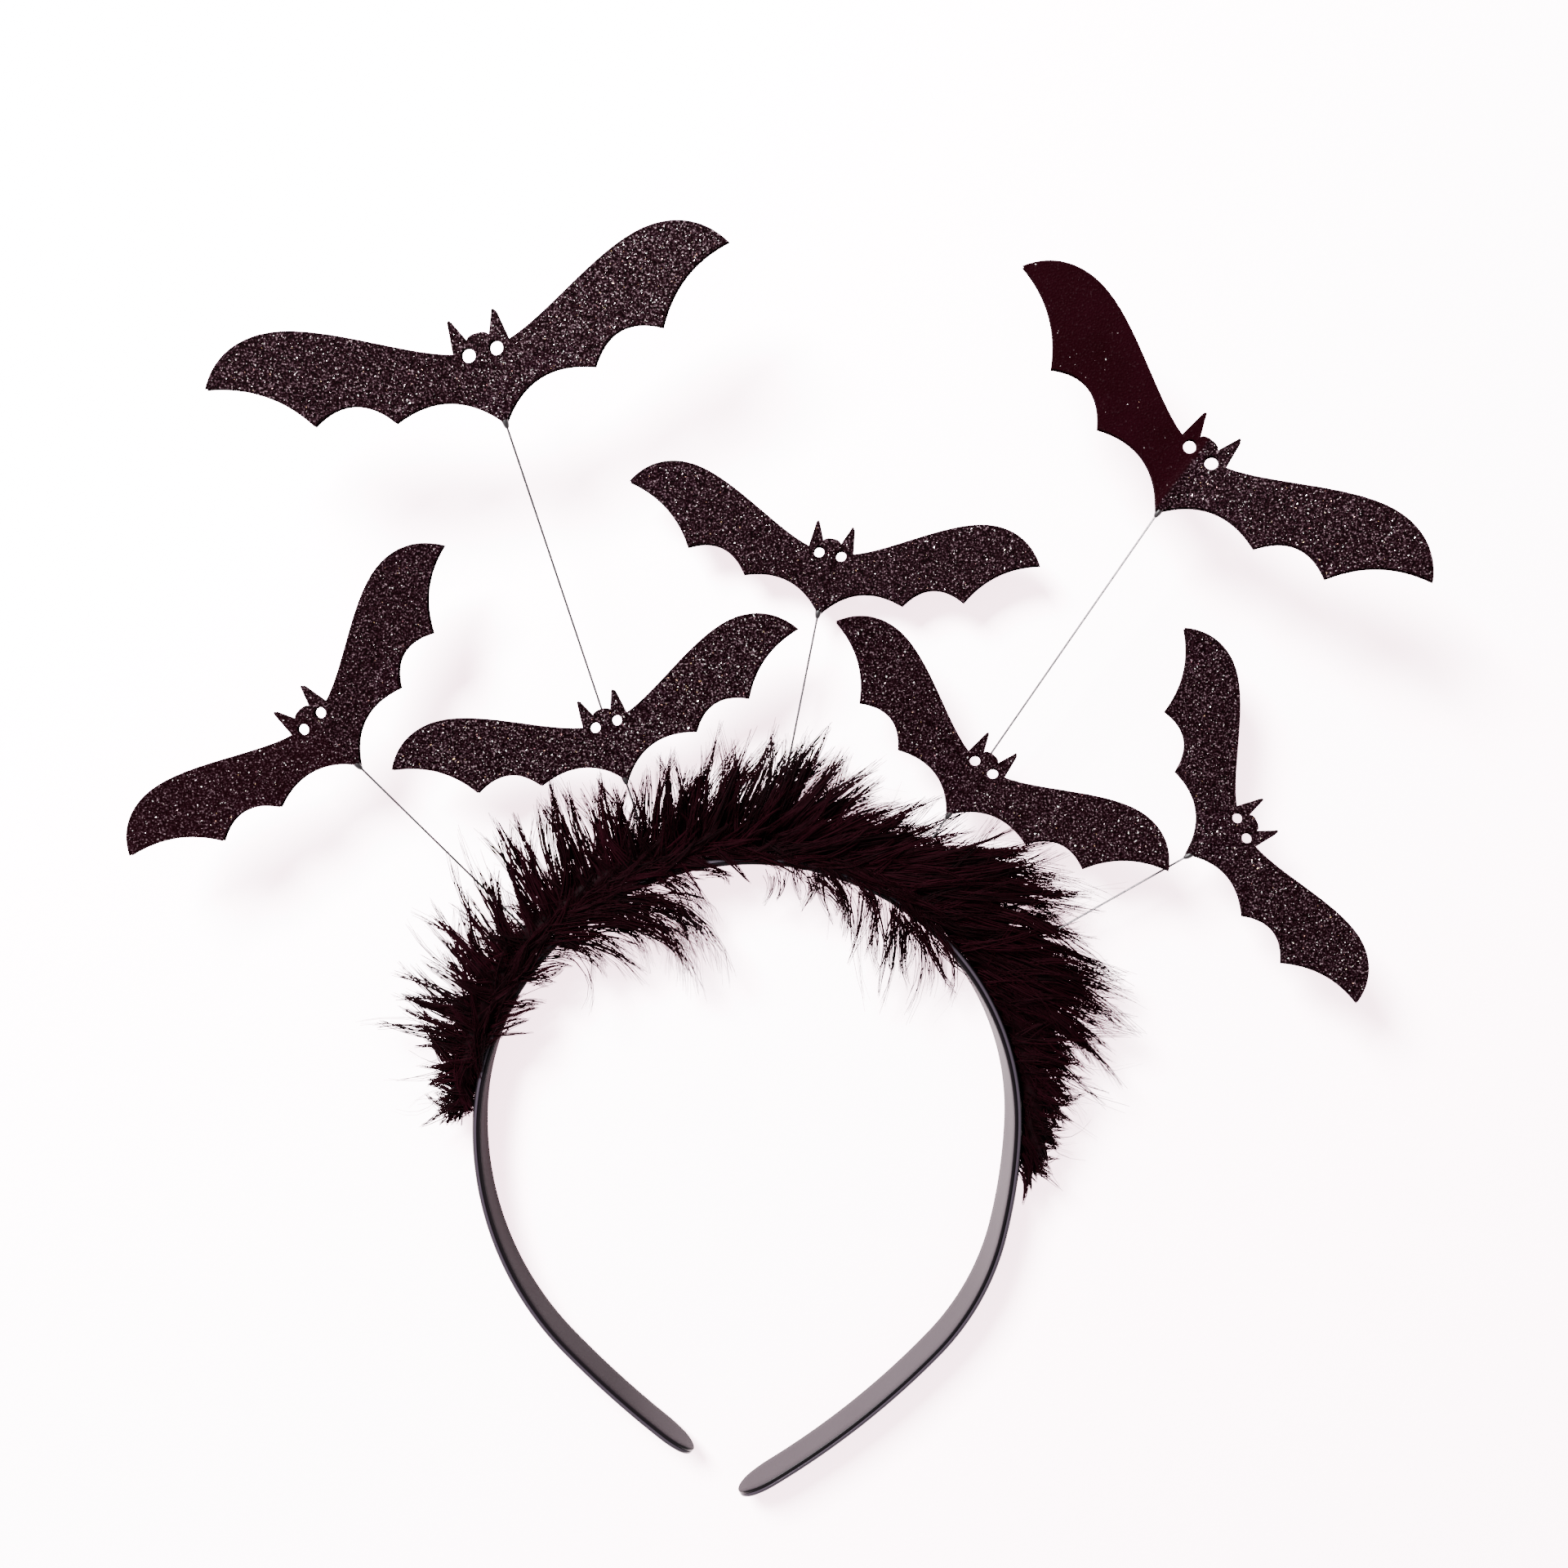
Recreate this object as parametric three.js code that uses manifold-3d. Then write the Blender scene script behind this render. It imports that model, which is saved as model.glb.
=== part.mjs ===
// Bat headband: a plastic band lying on its edge, a feather trim along its outer face, and seven card
// bats on five straight wires that stand out of the trim. Millimetres, +Z up. +Y runs from the band's
// open ends to its crown, +X to the right, and the origin is under the crown on the resting edge.
import * as THREE from 'three';
import { mergeVertices } from 'three/addons/utils/BufferGeometryUtils.js';
import Module from 'manifold-3d';

const wasm = await Module();
wasm.setup();

// The band. Its half width is the radius of the line through the middle of its thickness, and its
// length runs along that line. The crown parts it into a shorter left arm and a longer right one.
const BAND_HALF_WIDTH = 62.5;
const BAND_THICKNESS = 2.2;
const BAND_BREADTH = 12;
const TIP_BREADTH = 9.5;
const BAND_LENGTH = 410.5;
const LEFT_ARM_SHARE = 0.479;
const TIP_ROUNDING = 9;

// The feather trim. Its two lengths run along the band, each way from the crown.
const TRIM_LEFT_LENGTH = 96;
const TRIM_RIGHT_LENGTH = 108;
const TRIM_CORD_DEPTH = 6;
const TRIM_CORD_BREADTH = 10.5;
const LOCK_LENGTH = 28;
const LOCK_WIDTH = 9;
const OVER_LOCK_REACH = 9;
const OVER_LOCK_RISE = 12;
const OVER_LOCK_WIDTH = 5.4;
const TRIM_GAP = 0.3;

// The wires, and the height at which they leave the band. The two reaches run from the band to the
// tail of a wire's last bat.
const WIRE_DIAMETER = 0.5;
const WIRE_GAP = 0.3;
const WIRE_SEAT_HEIGHT = 6.5;
const LONG_REACH = 104;
const SHORT_REACH = 56;

// The bats: two cards glued back to back over the wire.
const SMALL_BAT = { span: 94.3, height: 27.2, eye: 2.6 };
const LARGE_BAT = { span: 110.6, height: 29.8, eye: 3.1 };
const CARD_THICKNESS = 1;
const CARD_OVER_WIRE = 0.35;
const SPINE_LAP = 0.2;
const LAP_INSET = 0.4;

// An arm of the band is a chain of arcs from the crown: radius is a share of the half width, turn is in
// degrees, and the last arc runs on until the arm's length is used up.
const RIGHT_BENDS = [
  { radius: 1, turn: 90 },
  { radius: 2, turn: 11.6 },
  { radius: 0.95, turn: 30.7 },
  { radius: 3, turn: 90 },
];
const LEFT_BENDS = [
  { radius: 1, turn: 90 },
  { radius: 1.22, turn: 44 },
  { radius: 4, turn: 90 },
];

// The band's section: out is a share of its thickness from the middle, up a share of its breadth.
const BAND_SECTION = [
  { out: -0.5, up: 0.07 },
  { out: -0.32, up: 0 },
  { out: 0.14, up: 0 },
  { out: 0.4, up: 0.07 },
  { out: 0.5, up: 0.28 },
  { out: 0.5, up: 0.72 },
  { out: 0.4, up: 0.93 },
  { out: 0.14, up: 1 },
  { out: -0.32, up: 1 },
  { out: -0.5, up: 0.93 },
];

// The section of the cord that the feathers are wound on: shares of its depth and breadth.
const CORD_SECTION = [
  { out: -0.5, up: -0.25 },
  { out: -0.3, up: -0.5 },
  { out: 0.3, up: -0.5 },
  { out: 0.5, up: -0.25 },
  { out: 0.5, up: 0.25 },
  { out: 0.3, up: 0.5 },
  { out: -0.3, up: 0.5 },
  { out: -0.5, up: 0.25 },
];

// A lock of feather barbs from root to tip: width is a share of the lock's width.
const LOCK_PROFILE = [
  { along: 0, width: 0.75 },
  { along: 0.35, width: 1 },
  { along: 0.7, width: 0.62 },
  { along: 1, width: 0.1 },
];
const LOCK_SIDES = 5;
const LOCK_FLATNESS = 0.55;

// The locks of one tuft: shares of the tuft's reach and tilt, and the degrees added to its sweep and
// taken from its tilt.
const TUFT_LOCKS = [
  { reach: 1, sweep: -9, tilt: 0, drop: 4 },
  { reach: 0.9, sweep: 12, tilt: 0.35, drop: 0 },
  { reach: 0.72, sweep: -2, tilt: 1, drop: 0 },
];

// The tufts from the left end to the right one. at is a share of the trim's length on that side, with
// minus to the left. reach is a share of the lock length. sweep turns a tuft towards the right end and
// tilt is what its top lock lifts by, both in degrees. curl bends its locks along the band.
const TUFTS = [
  { at: -0.97, reach: 0.32, sweep: -30, tilt: 22, curl: -0.1 },
  { at: -0.87, reach: 0.48, sweep: -10, tilt: 34, curl: 0.12 },
  { at: -0.76, reach: 0.66, sweep: 8, tilt: 38, curl: 0.1 },
  { at: -0.64, reach: 0.72, sweep: -8, tilt: 34, curl: 0.12 },
  { at: -0.51, reach: 0.84, sweep: -2, tilt: 30, curl: 0.1 },
  { at: -0.38, reach: 0.7, sweep: 12, tilt: 24, curl: 0.08 },
  { at: -0.25, reach: 0.62, sweep: 14, tilt: 20, curl: 0.1 },
  { at: -0.12, reach: 0.98, sweep: 24, tilt: 26, curl: 0.12 },
  { at: 0.02, reach: 0.95, sweep: 26, tilt: 30, curl: 0.12 },
  { at: 0.12, reach: 0.82, sweep: 32, tilt: 26, curl: 0.1 },
  { at: 0.22, reach: 0.62, sweep: 34, tilt: 12, curl: 0.1 },
  { at: 0.32, reach: 0.88, sweep: 28, tilt: 9, curl: 0.1 },
  { at: 0.43, reach: 1, sweep: 12, tilt: 9, curl: 0.14 },
  { at: 0.53, reach: 1, sweep: 6, tilt: 14, curl: 0.12 },
  { at: 0.63, reach: 0.95, sweep: 8, tilt: 26, curl: 0.14 },
  { at: 0.73, reach: 0.86, sweep: 14, tilt: 30, curl: 0.16 },
  { at: 0.83, reach: 0.68, sweep: 16, tilt: 32, curl: 0.16 },
  { at: 0.93, reach: 0.46, sweep: 30, tilt: 26, curl: 0.1 },
];

// The locks that fall inwards over the band's upper edge, placed and swept as the tufts are. Their
// roots lie over the cord's middle by a share of its breadth, and their tips hang at a share of the rise.
const OVER_LOCK_ROOT = 0.25;
const OVER_LOCK_END = 0.17;
const OVER_LOCKS = [
  { at: -0.72, reach: 0.7, sweep: 10 },
  { at: -0.56, reach: 0.9, sweep: -14 },
  { at: -0.43, reach: 1, sweep: -20 },
  { at: -0.3, reach: 0.9, sweep: -16 },
  { at: 0.15, reach: 0.7, sweep: 18 },
  { at: 0.27, reach: 0.95, sweep: 12 },
  { at: 0.39, reach: 1, sweep: -8 },
];

// A wire leaves the band at seat, a share of the trim's length on that side, with minus to the left.
// bearing is its direction seen from above, from +X, and tilt its slope, both in degrees.
const WIRES = {
  upper_left: { seat: -0.245, bearing: 109, tilt: 11, reach: LONG_REACH },
  upper_right: { seat: 0.306, bearing: 59, tilt: 9.5, reach: LONG_REACH },
  left: { seat: -0.568, bearing: 134.2, tilt: 10, reach: SHORT_REACH },
  top: { seat: 0.028, bearing: 80.7, tilt: 1.5, reach: SHORT_REACH },
  right: { seat: 0.56, bearing: 33, tilt: 7.5, reach: SHORT_REACH },
};

// A bat sits on its wire with its tail at along, a share of the wire's reach. turn is its own small
// turn against the wire, and tilts lift its left and its right wing, all in degrees.
const BATS = {
  upper_left: { wire: 'upper_left', along: 0.994, size: LARGE_BAT, turn: -0.8, tilts: [4, 2] },
  upper_right: { wire: 'upper_right', along: 0.99, size: LARGE_BAT, turn: -3.6, tilts: [2, 10] },
  left: { wire: 'left', along: 1.027, size: SMALL_BAT, turn: 2, tilts: [3, -3] },
  top: { wire: 'top', along: 0.989, size: SMALL_BAT, turn: 0, tilts: [3, 2] },
  middle_left: { wire: 'upper_left', along: 0.209, size: SMALL_BAT, turn: 2, tilts: [3, 3] },
  middle_right: { wire: 'upper_right', along: 0.209, size: SMALL_BAT, turn: -3.5, tilts: [3, 6] },
  right: { wire: 'right', along: 0.982, size: SMALL_BAT, turn: -5.5, tilts: [-3, 4] },
};

// Half of a bat's outline from the tail: across is a share of its half span and up of its height. Each
// scallop of the lower edge bows up by its depth, a share of the half span too, and the upper edge is
// two curves from the wing tip to the ear.
const SCALLOPS = [
  { across: 0.389, up: 0.208, depth: 0.076 },
  { across: 0.676, up: 0.334, depth: 0.068 },
  { across: 1, up: 0.756, depth: 0.046 },
];
const UPPER_EDGE = [
  { from: [0.944, 0.917], to: [0.859, 1], across: 0.752, up: 1 },
  { from: [0.556, 1], to: [0.293, 0.628], across: 0.107, up: 0.538 },
];
const EAR_TIP = { across: 0.08, up: 0.756, width: 0.012 };
const EAR_INNER = { across: 0.044, up: 0.602 };
const DOME = { across: 0.022, up: 0.628 };
const HEAD_TOP = 0.635;
const EYE = { across: 0.054, up: 0.509 };
const CURVE_STEPS = 6;

// Where the wire is held in a bat, as shares of the head's height over the tail.
const SLEEVE_START = 0.03;
const SLEEVE_THROUGH_END = 0.97;
const SLEEVE_BLIND_END = 0.72;
const BLIND_WIRE_END = 0.62;
const TURN_CENTRE = 0.5;

const TAPER_START = 0.5;
const ROUND_SIDES = 10;
const WIRE_SIDES = 8;
const BAND_STEP = 6;
const TIP_START = 12;
const TIP_STEPS = 6;
const TRIM_STEP = 6;
const PAST_END = 2;

const materials = {
  plastic: { color: 0x17141a, roughness: 0.35, metalness: 0 },
  feather: { color: 0x0b070a, roughness: 0.95, metalness: 0 },
  wire: { color: 0xb8b8be, roughness: 0.3, metalness: 1 },
  card: { color: 0x1a1016, roughness: 0.6, metalness: 0.1 },
};

const radians = THREE.MathUtils.degToRad;
const wireRadius = WIRE_DIAMETER / 2;
const boreRadius = wireRadius + WIRE_GAP;
const sleeveRadius = boreRadius + CARD_OVER_WIRE;
const bandFace = BAND_THICKNESS / 2;
const leftArm = LEFT_ARM_SHARE * BAND_LENGTH;
const rightArm = BAND_LENGTH - leftArm;
const cordOffset = bandFace + TRIM_GAP + TRIM_CORD_DEPTH / 2;

// A closed geometry as a solid that can be joined and cut.
function solid(geometry) {
  const bare = geometry.clone();
  bare.deleteAttribute('normal');
  bare.deleteAttribute('uv');
  const merged = mergeVertices(bare, 1e-4);
  const mesh = new wasm.Mesh({
    numProp: 3,
    vertProperties: new Float32Array(merged.attributes.position.array),
    triVerts: new Uint32Array(merged.index.array),
  });
  return new wasm.Manifold(mesh);
}

function geometryOf(body) {
  const mesh = body.getMesh();
  const geometry = new THREE.BufferGeometry();
  geometry.setAttribute('position', new THREE.BufferAttribute(mesh.vertProperties, 3));
  geometry.setIndex(new THREE.BufferAttribute(mesh.triVerts, 1));
  geometry.computeVertexNormals();
  return geometry;
}

// Rings of as many points each, joined side to side, with a flat face at both ends.
function loft(rings) {
  const sides = rings[0].length;
  const points = rings.flat();
  const index = [];
  for (let ring = 0; ring + 1 < rings.length; ring += 1) {
    for (let side = 0; side < sides; side += 1) {
      const next = (side + 1) % sides;
      const a = ring * sides + side;
      const b = ring * sides + next;
      index.push(a, b, b + sides, a, b + sides, a + sides);
    }
  }
  const last = (rings.length - 1) * sides;
  for (let side = 1; side + 1 < sides; side += 1) {
    index.push(0, side + 1, side, last, last + side, last + side + 1);
  }
  const geometry = new THREE.BufferGeometry().setFromPoints(points);
  geometry.setIndex(index);
  return geometry;
}

// The place on the band's middle line at a distance from the crown, with minus to the left. out points
// away from the head and on runs from the left end to the right one.
function bandAt(distance) {
  const side = distance < 0 ? -1 : 1;
  const bends = distance < 0 ? LEFT_BENDS : RIGHT_BENDS;
  let left = Math.abs(distance);
  let x = 0;
  let y = 0;
  let heading = 0;
  for (const bend of bends) {
    const radius = bend.radius * BAND_HALF_WIDTH;
    const turn = Math.min(radians(bend.turn), left / radius);
    x += radius * (Math.sin(heading + turn) - Math.sin(heading));
    y -= radius * (Math.cos(heading) - Math.cos(heading + turn));
    heading += turn;
    left -= turn * radius;
  }
  return {
    place: new THREE.Vector3(side * x, y, 0),
    out: new THREE.Vector3(side * Math.sin(heading), Math.cos(heading), 0),
    on: new THREE.Vector3(Math.cos(heading), -side * Math.sin(heading), 0),
  };
}

// The same place from a share of the trim's length on its side.
function trimAt(share) {
  return bandAt(share * (share < 0 ? TRIM_LEFT_LENGTH : TRIM_RIGHT_LENGTH));
}

// The band narrows from the middle of each arm to its tip.
function breadthAt(distance) {
  const arm = distance < 0 ? leftArm : rightArm;
  const taper = Math.max(0, Math.abs(distance) / arm - TAPER_START) / (1 - TAPER_START);
  return BAND_BREADTH + (TIP_BREADTH - BAND_BREADTH) * taper;
}

function evenly(from, to, step) {
  const count = Math.ceil((to - from) / step);
  return Array.from({ length: count + 1 }, (_, k) => from + ((to - from) * k) / count);
}

// The band, swept from tip to tip. Both tips are rounded as seen from the head's side. grow widens the
// section all round, for what has to keep clear of the band.
function bandSolid(grow) {
  const tip = Array.from({ length: TIP_STEPS }, (_, k) => {
    const angle = radians(TIP_START + ((90 - TIP_START) * k) / TIP_STEPS);
    return { inset: TIP_ROUNDING * (1 - Math.cos(angle)), share: Math.sin(angle) };
  });
  const middle = evenly(TIP_ROUNDING - leftArm, rightArm - TIP_ROUNDING, BAND_STEP);
  const stations = [
    ...tip.map(({ inset, share }) => ({ at: inset - leftArm, share })),
    ...middle.map((at) => ({ at, share: 1 })),
    ...tip.reverse().map(({ inset, share }) => ({ at: rightArm - inset, share })),
  ];
  const rings = stations.map(({ at, share }) => {
    const { place, out } = bandAt(at);
    const breadth = breadthAt(at) * share + 2 * grow;
    return BAND_SECTION.map((corner) => {
      const outwards = corner.out * (BAND_THICKNESS + 2 * grow);
      const height = BAND_BREADTH / 2 + (corner.up - 0.5) * breadth;
      return place.clone().addScaledVector(out, outwards).setZ(height);
    });
  });
  return solid(loft(rings));
}

// Where a wire starts, on the band's outer face, and which way it runs.
function wireLine(name) {
  const { seat, bearing, tilt } = WIRES[name];
  const { place, out } = trimAt(seat);
  const start = place.addScaledVector(out, bandFace + WIRE_GAP + wireRadius).setZ(WIRE_SEAT_HEIGHT);
  const direction = new THREE.Vector3(
    Math.cos(radians(tilt)) * Math.cos(radians(bearing)),
    Math.cos(radians(tilt)) * Math.sin(radians(bearing)),
    Math.sin(radians(tilt)),
  );
  return { start, direction };
}

// The frame of something that sits on a wire at a share of its reach: Y along the wire and Z to the
// upper side.
function wireFrame(name, along) {
  const { start, direction } = wireLine(name);
  const across = direction.clone().cross(new THREE.Vector3(0, 0, 1)).normalize();
  const upper = across.clone().cross(direction);
  const frame = new THREE.Matrix4().makeBasis(across, direction, upper);
  return frame.setPosition(start.addScaledVector(direction, along * WIRES[name].reach));
}

// A rod along Y between two distances.
function rod(radius, from, to, sides, endRadius = radius) {
  const geometry = new THREE.CylinderGeometry(endRadius, radius, to - from, sides);
  return geometry.translate(0, (from + to) / 2, 0);
}

function headHeight(size) {
  return HEAD_TOP * size.height;
}

// The last bat on a wire. The wire ends inside it and runs through a bat before it.
function lastBat(name) {
  return Object.values(BATS)
    .filter((bat) => bat.wire === name)
    .reduce((last, bat) => (bat.along > last.along ? bat : last));
}

function wireLength(name) {
  const { along, size } = lastBat(name);
  return along * WIRES[name].reach + BLIND_WIRE_END * headHeight(size);
}

// A lock of feathers along a curve: its rings lie across the curve, flattened towards upper.
function lockSolid(curve, width, upper) {
  const rings = LOCK_PROFILE.map((section) => {
    const centre = curve.getPoint(section.along);
    const along = curve.getTangent(section.along);
    const across = along.clone().cross(upper).normalize();
    const over = across.clone().cross(along);
    const radius = (section.width * width) / 2;
    return Array.from({ length: LOCK_SIDES }, (_, side) => {
      const angle = (2 * Math.PI * side) / LOCK_SIDES;
      return centre
        .clone()
        .addScaledVector(across, radius * Math.cos(angle))
        .addScaledVector(over, -radius * LOCK_FLATNESS * Math.sin(angle));
    });
  });
  return solid(loft(rings));
}

// One lock of a tuft, rooted in the cord.
function tuftLock(tuft, lock) {
  const { place, out, on } = trimAt(tuft.at);
  const root = place.clone().addScaledVector(out, cordOffset).setZ(BAND_BREADTH / 2);
  const reach = LOCK_LENGTH * tuft.reach * lock.reach;
  const sweep = radians(tuft.sweep + lock.sweep);
  const lift = radians(tuft.tilt * lock.tilt - lock.drop);
  const level = out.clone().multiplyScalar(Math.cos(sweep)).addScaledVector(on, Math.sin(sweep));
  const way = level.multiplyScalar(Math.cos(lift)).setZ(Math.sin(lift));
  const middle = root.clone().addScaledVector(way, reach / 2).addScaledVector(on, -tuft.curl * reach);
  const end = root.clone().addScaledVector(way, reach);
  const width = LOCK_WIDTH * Math.sqrt(tuft.reach);
  return lockSolid(new THREE.QuadraticBezierCurve3(root, middle, end), width, new THREE.Vector3(0, 0, 1));
}

// A lock that rises from the cord and falls inwards over the band's upper edge.
function overLock({ at, reach, sweep }) {
  const { place, out, on } = trimAt(at);
  const inwards = OVER_LOCK_REACH * reach;
  const rootHeight = BAND_BREADTH / 2 + OVER_LOCK_ROOT * TRIM_CORD_BREADTH;
  const root = place.clone().addScaledVector(out, cordOffset).setZ(rootHeight);
  const crest = place.clone().setZ(BAND_BREADTH + OVER_LOCK_RISE);
  const end = place
    .clone()
    .addScaledVector(out, -inwards)
    .addScaledVector(on, inwards * Math.tan(radians(sweep)))
    .setZ(BAND_BREADTH + OVER_LOCK_END * OVER_LOCK_RISE);
  return lockSolid(new THREE.QuadraticBezierCurve3(root, crest, end), OVER_LOCK_WIDTH, on);
}

// The cord that the feathers are wound on, along the band's outer face.
function cordSolid() {
  const rings = evenly(-TRIM_LEFT_LENGTH, TRIM_RIGHT_LENGTH, TRIM_STEP).map((at) => {
    const { place, out } = bandAt(at);
    return CORD_SECTION.map((corner) =>
      place
        .clone()
        .addScaledVector(out, cordOffset + corner.out * TRIM_CORD_DEPTH)
        .setZ(BAND_BREADTH / 2 + corner.up * TRIM_CORD_BREADTH),
    );
  });
  return solid(loft(rings));
}

// A cut can part a lock's tip from the rest: the trim is the main body that stays.
function mainBody(body) {
  return body.decompose().reduce((best, piece) => (piece.volume() > best.volume() ? piece : best));
}

function featherTrim() {
  let body = cordSolid();
  for (const tuft of TUFTS) {
    for (const lock of TUFT_LOCKS) {
      body = body.add(tuftLock(tuft, lock));
    }
  }
  for (const lock of OVER_LOCKS) {
    body = body.add(overLock(lock));
  }
  body = body.subtract(bandSolid(TRIM_GAP));
  const pastLocks = LOCK_LENGTH + 2 * TRIM_CORD_DEPTH;
  for (const name of Object.keys(WIRES)) {
    const channel = rod(boreRadius, -PAST_END, pastLocks, ROUND_SIDES).applyMatrix4(wireFrame(name, 0));
    body = body.subtract(solid(channel));
  }
  return geometryOf(mainBody(body));
}

// One wing with its half of the body: the outline from the tail round to the top of the head, and a
// little past the middle so that the two wings join along the spine.
function wingSolid(size, side, tilt) {
  const half = size.span / 2;
  const at = (across, up) => new THREE.Vector2(side * across * half, up * size.height);
  const lap = -side * SPINE_LAP;
  const shape = new THREE.Shape();
  shape.moveTo(lap, LAP_INSET);
  shape.lineTo(0, 0);
  for (const { across, up, depth } of SCALLOPS) {
    const end = at(across, up);
    const chord = end.clone().sub(shape.currentPoint);
    const bow = new THREE.Vector2(-chord.y, chord.x).setLength(2 * depth * half * side);
    const middle = shape.currentPoint.clone().addScaledVector(chord, 0.5).add(bow);
    shape.quadraticCurveTo(middle.x, middle.y, end.x, end.y);
  }
  for (const { from, to, across, up } of UPPER_EDGE) {
    const [first, second, end] = [at(...from), at(...to), at(across, up)];
    shape.bezierCurveTo(first.x, first.y, second.x, second.y, end.x, end.y);
  }
  for (const across of [EAR_TIP.across + EAR_TIP.width, EAR_TIP.across]) {
    const tip = at(across, EAR_TIP.up);
    shape.lineTo(tip.x, tip.y);
  }
  for (const { across, up } of [EAR_INNER, DOME]) {
    const corner = at(across, up);
    shape.lineTo(corner.x, corner.y);
  }
  shape.lineTo(0, headHeight(size));
  shape.lineTo(lap, headHeight(size) - LAP_INSET);
  const eye = at(EYE.across, EYE.up);
  shape.holes.push(new THREE.Path().absarc(eye.x, eye.y, size.eye / 2, 0, 2 * Math.PI));
  const settings = { depth: CARD_THICKNESS, bevelEnabled: false, curveSegments: CURVE_STEPS };
  const card = new THREE.ExtrudeGeometry(shape, settings).translate(0, 0, -CARD_THICKNESS / 2);
  return solid(card.rotateY(-side * radians(tilt)));
}

// A bat in its wire's frame: the tail at the origin and the wire along Y.
function batGeometry(bat) {
  const through = bat !== lastBat(bat.wire);
  const head = headHeight(bat.size);
  const centre = TURN_CENTRE * head;
  const [leftTilt, rightTilt] = bat.tilts;
  let card = wingSolid(bat.size, -1, leftTilt).add(wingSolid(bat.size, 1, rightTilt));
  card = card.translate([0, -centre, 0]).rotate([0, 0, bat.turn]).translate([0, centre, 0]);
  const sleeveEnd = head * (through ? SLEEVE_THROUGH_END : SLEEVE_BLIND_END);
  const boreEnd = through ? head + PAST_END : head * BLIND_WIRE_END + WIRE_GAP;
  const sleeve = rod(sleeveRadius, head * SLEEVE_START, sleeveEnd, ROUND_SIDES);
  const bore = rod(boreRadius, -PAST_END, boreEnd, ROUND_SIDES);
  return geometryOf(mainBody(card.add(solid(sleeve)).subtract(solid(bore))));
}

function piece(name, geometry, finish) {
  const mesh = new THREE.Mesh(geometry, new THREE.MeshStandardMaterial(materials[finish]));
  mesh.name = name;
  return mesh;
}

function placed(mesh, frame) {
  frame.decompose(mesh.position, mesh.quaternion, mesh.scale);
  return mesh;
}

const headband = new THREE.Group();
headband.add(piece('headband', geometryOf(bandSolid(0)), 'plastic'));
headband.add(piece('feather_trim', featherTrim(), 'feather'));
for (const name of Object.keys(WIRES)) {
  const wire = rod(wireRadius, 0, wireLength(name), WIRE_SIDES);
  headband.add(placed(piece(`wire_${name}`, wire, 'wire'), wireFrame(name, 0)));
}
for (const [name, bat] of Object.entries(BATS)) {
  headband.add(placed(piece(`bat_${name}`, batGeometry(bat), 'card'), wireFrame(bat.wire, bat.along)));
}

export default headband;
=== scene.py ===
# %% [markdown]
# # A bat headband
# The real thing is a black plastic band with a marabou trim along its outer face. Seven bats cut from
# glitter card fly over it on thin steel wires. It lies flat on pale paper and is seen from straight above.
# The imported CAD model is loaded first, because every piece below is placed by its frame: metres, +Z up,
# +Y towards the crown of the band, and the resting edge at z = 0.

# %% load the frame
import math

import bmesh
import bpy
import numpy as np
from mathutils import Matrix, Vector


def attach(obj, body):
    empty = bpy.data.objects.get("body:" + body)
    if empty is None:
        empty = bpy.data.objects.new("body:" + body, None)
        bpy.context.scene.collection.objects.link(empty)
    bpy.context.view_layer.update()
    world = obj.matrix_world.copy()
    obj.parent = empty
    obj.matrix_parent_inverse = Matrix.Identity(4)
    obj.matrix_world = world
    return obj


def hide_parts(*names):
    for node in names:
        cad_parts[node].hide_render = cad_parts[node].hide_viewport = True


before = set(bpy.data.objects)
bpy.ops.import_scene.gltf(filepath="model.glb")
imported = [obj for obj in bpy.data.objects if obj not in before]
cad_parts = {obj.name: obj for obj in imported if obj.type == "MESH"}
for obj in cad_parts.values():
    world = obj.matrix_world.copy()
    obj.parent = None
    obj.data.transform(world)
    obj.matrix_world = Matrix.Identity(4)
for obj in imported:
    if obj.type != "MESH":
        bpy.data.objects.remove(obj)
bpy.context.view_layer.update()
MM = 0.001

# %% [markdown]
# ## The camera
# The photograph was taken from about 345 mm above the paper, a little to the left of the band's middle
# and turned by a degree or two. A camera in the same place gives the same perspective: the bats that
# stand higher look a little larger. Its direction is the straight-down one, tipped onto the aim.

# %% camera
CAMERA_PLACE = Vector((-14.53, 40.91, 345)) * MM
CAMERA_AIM = Vector((6.0, 16.7, 0)) * MM
CAMERA_ROLL = 1.65
LENS = 33.9

camera_data = bpy.data.cameras.new("camera")
camera_data.lens = LENS
camera_data.sensor_width = 36
camera_data.clip_start = 0.01
camera = bpy.data.objects.new("camera", camera_data)
bpy.context.scene.collection.objects.link(camera)
aim = (CAMERA_AIM - CAMERA_PLACE).normalized()
tip_over = Vector((0, 0, -1)).rotation_difference(aim).to_matrix()
turn = tip_over @ Matrix.Rotation(math.radians(CAMERA_ROLL), 3, "Z")
camera.matrix_world = Matrix.Translation(CAMERA_PLACE) @ turn.to_4x4()
bpy.context.scene.camera = camera
print("camera height above the paper:", round(camera.location.z, 3))

# %% [markdown]
# ## Paper and light
# The ground is a plain sheet of pale paper. The light is a broad, soft one from the upper left, so the
# shadows fall to the lower right. The photograph is bright, with faint shadows, so a white surrounding
# fills them in and the paper glows itself.

# %% floor, light and surrounding
FLOOR_SIZE = 3.0
KEY_PLACE = Vector((-0.42, 0.5, 0.62))
KEY_SIZE = 0.3
KEY_POWER = 125
FILL_STRENGTH = 1.9
FILL_COLOUR = (1.0, 0.985, 0.99, 1)
PAPER_GLOW = 4.6


def link(thing):
    bpy.context.scene.collection.objects.link(thing)
    return thing


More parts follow.
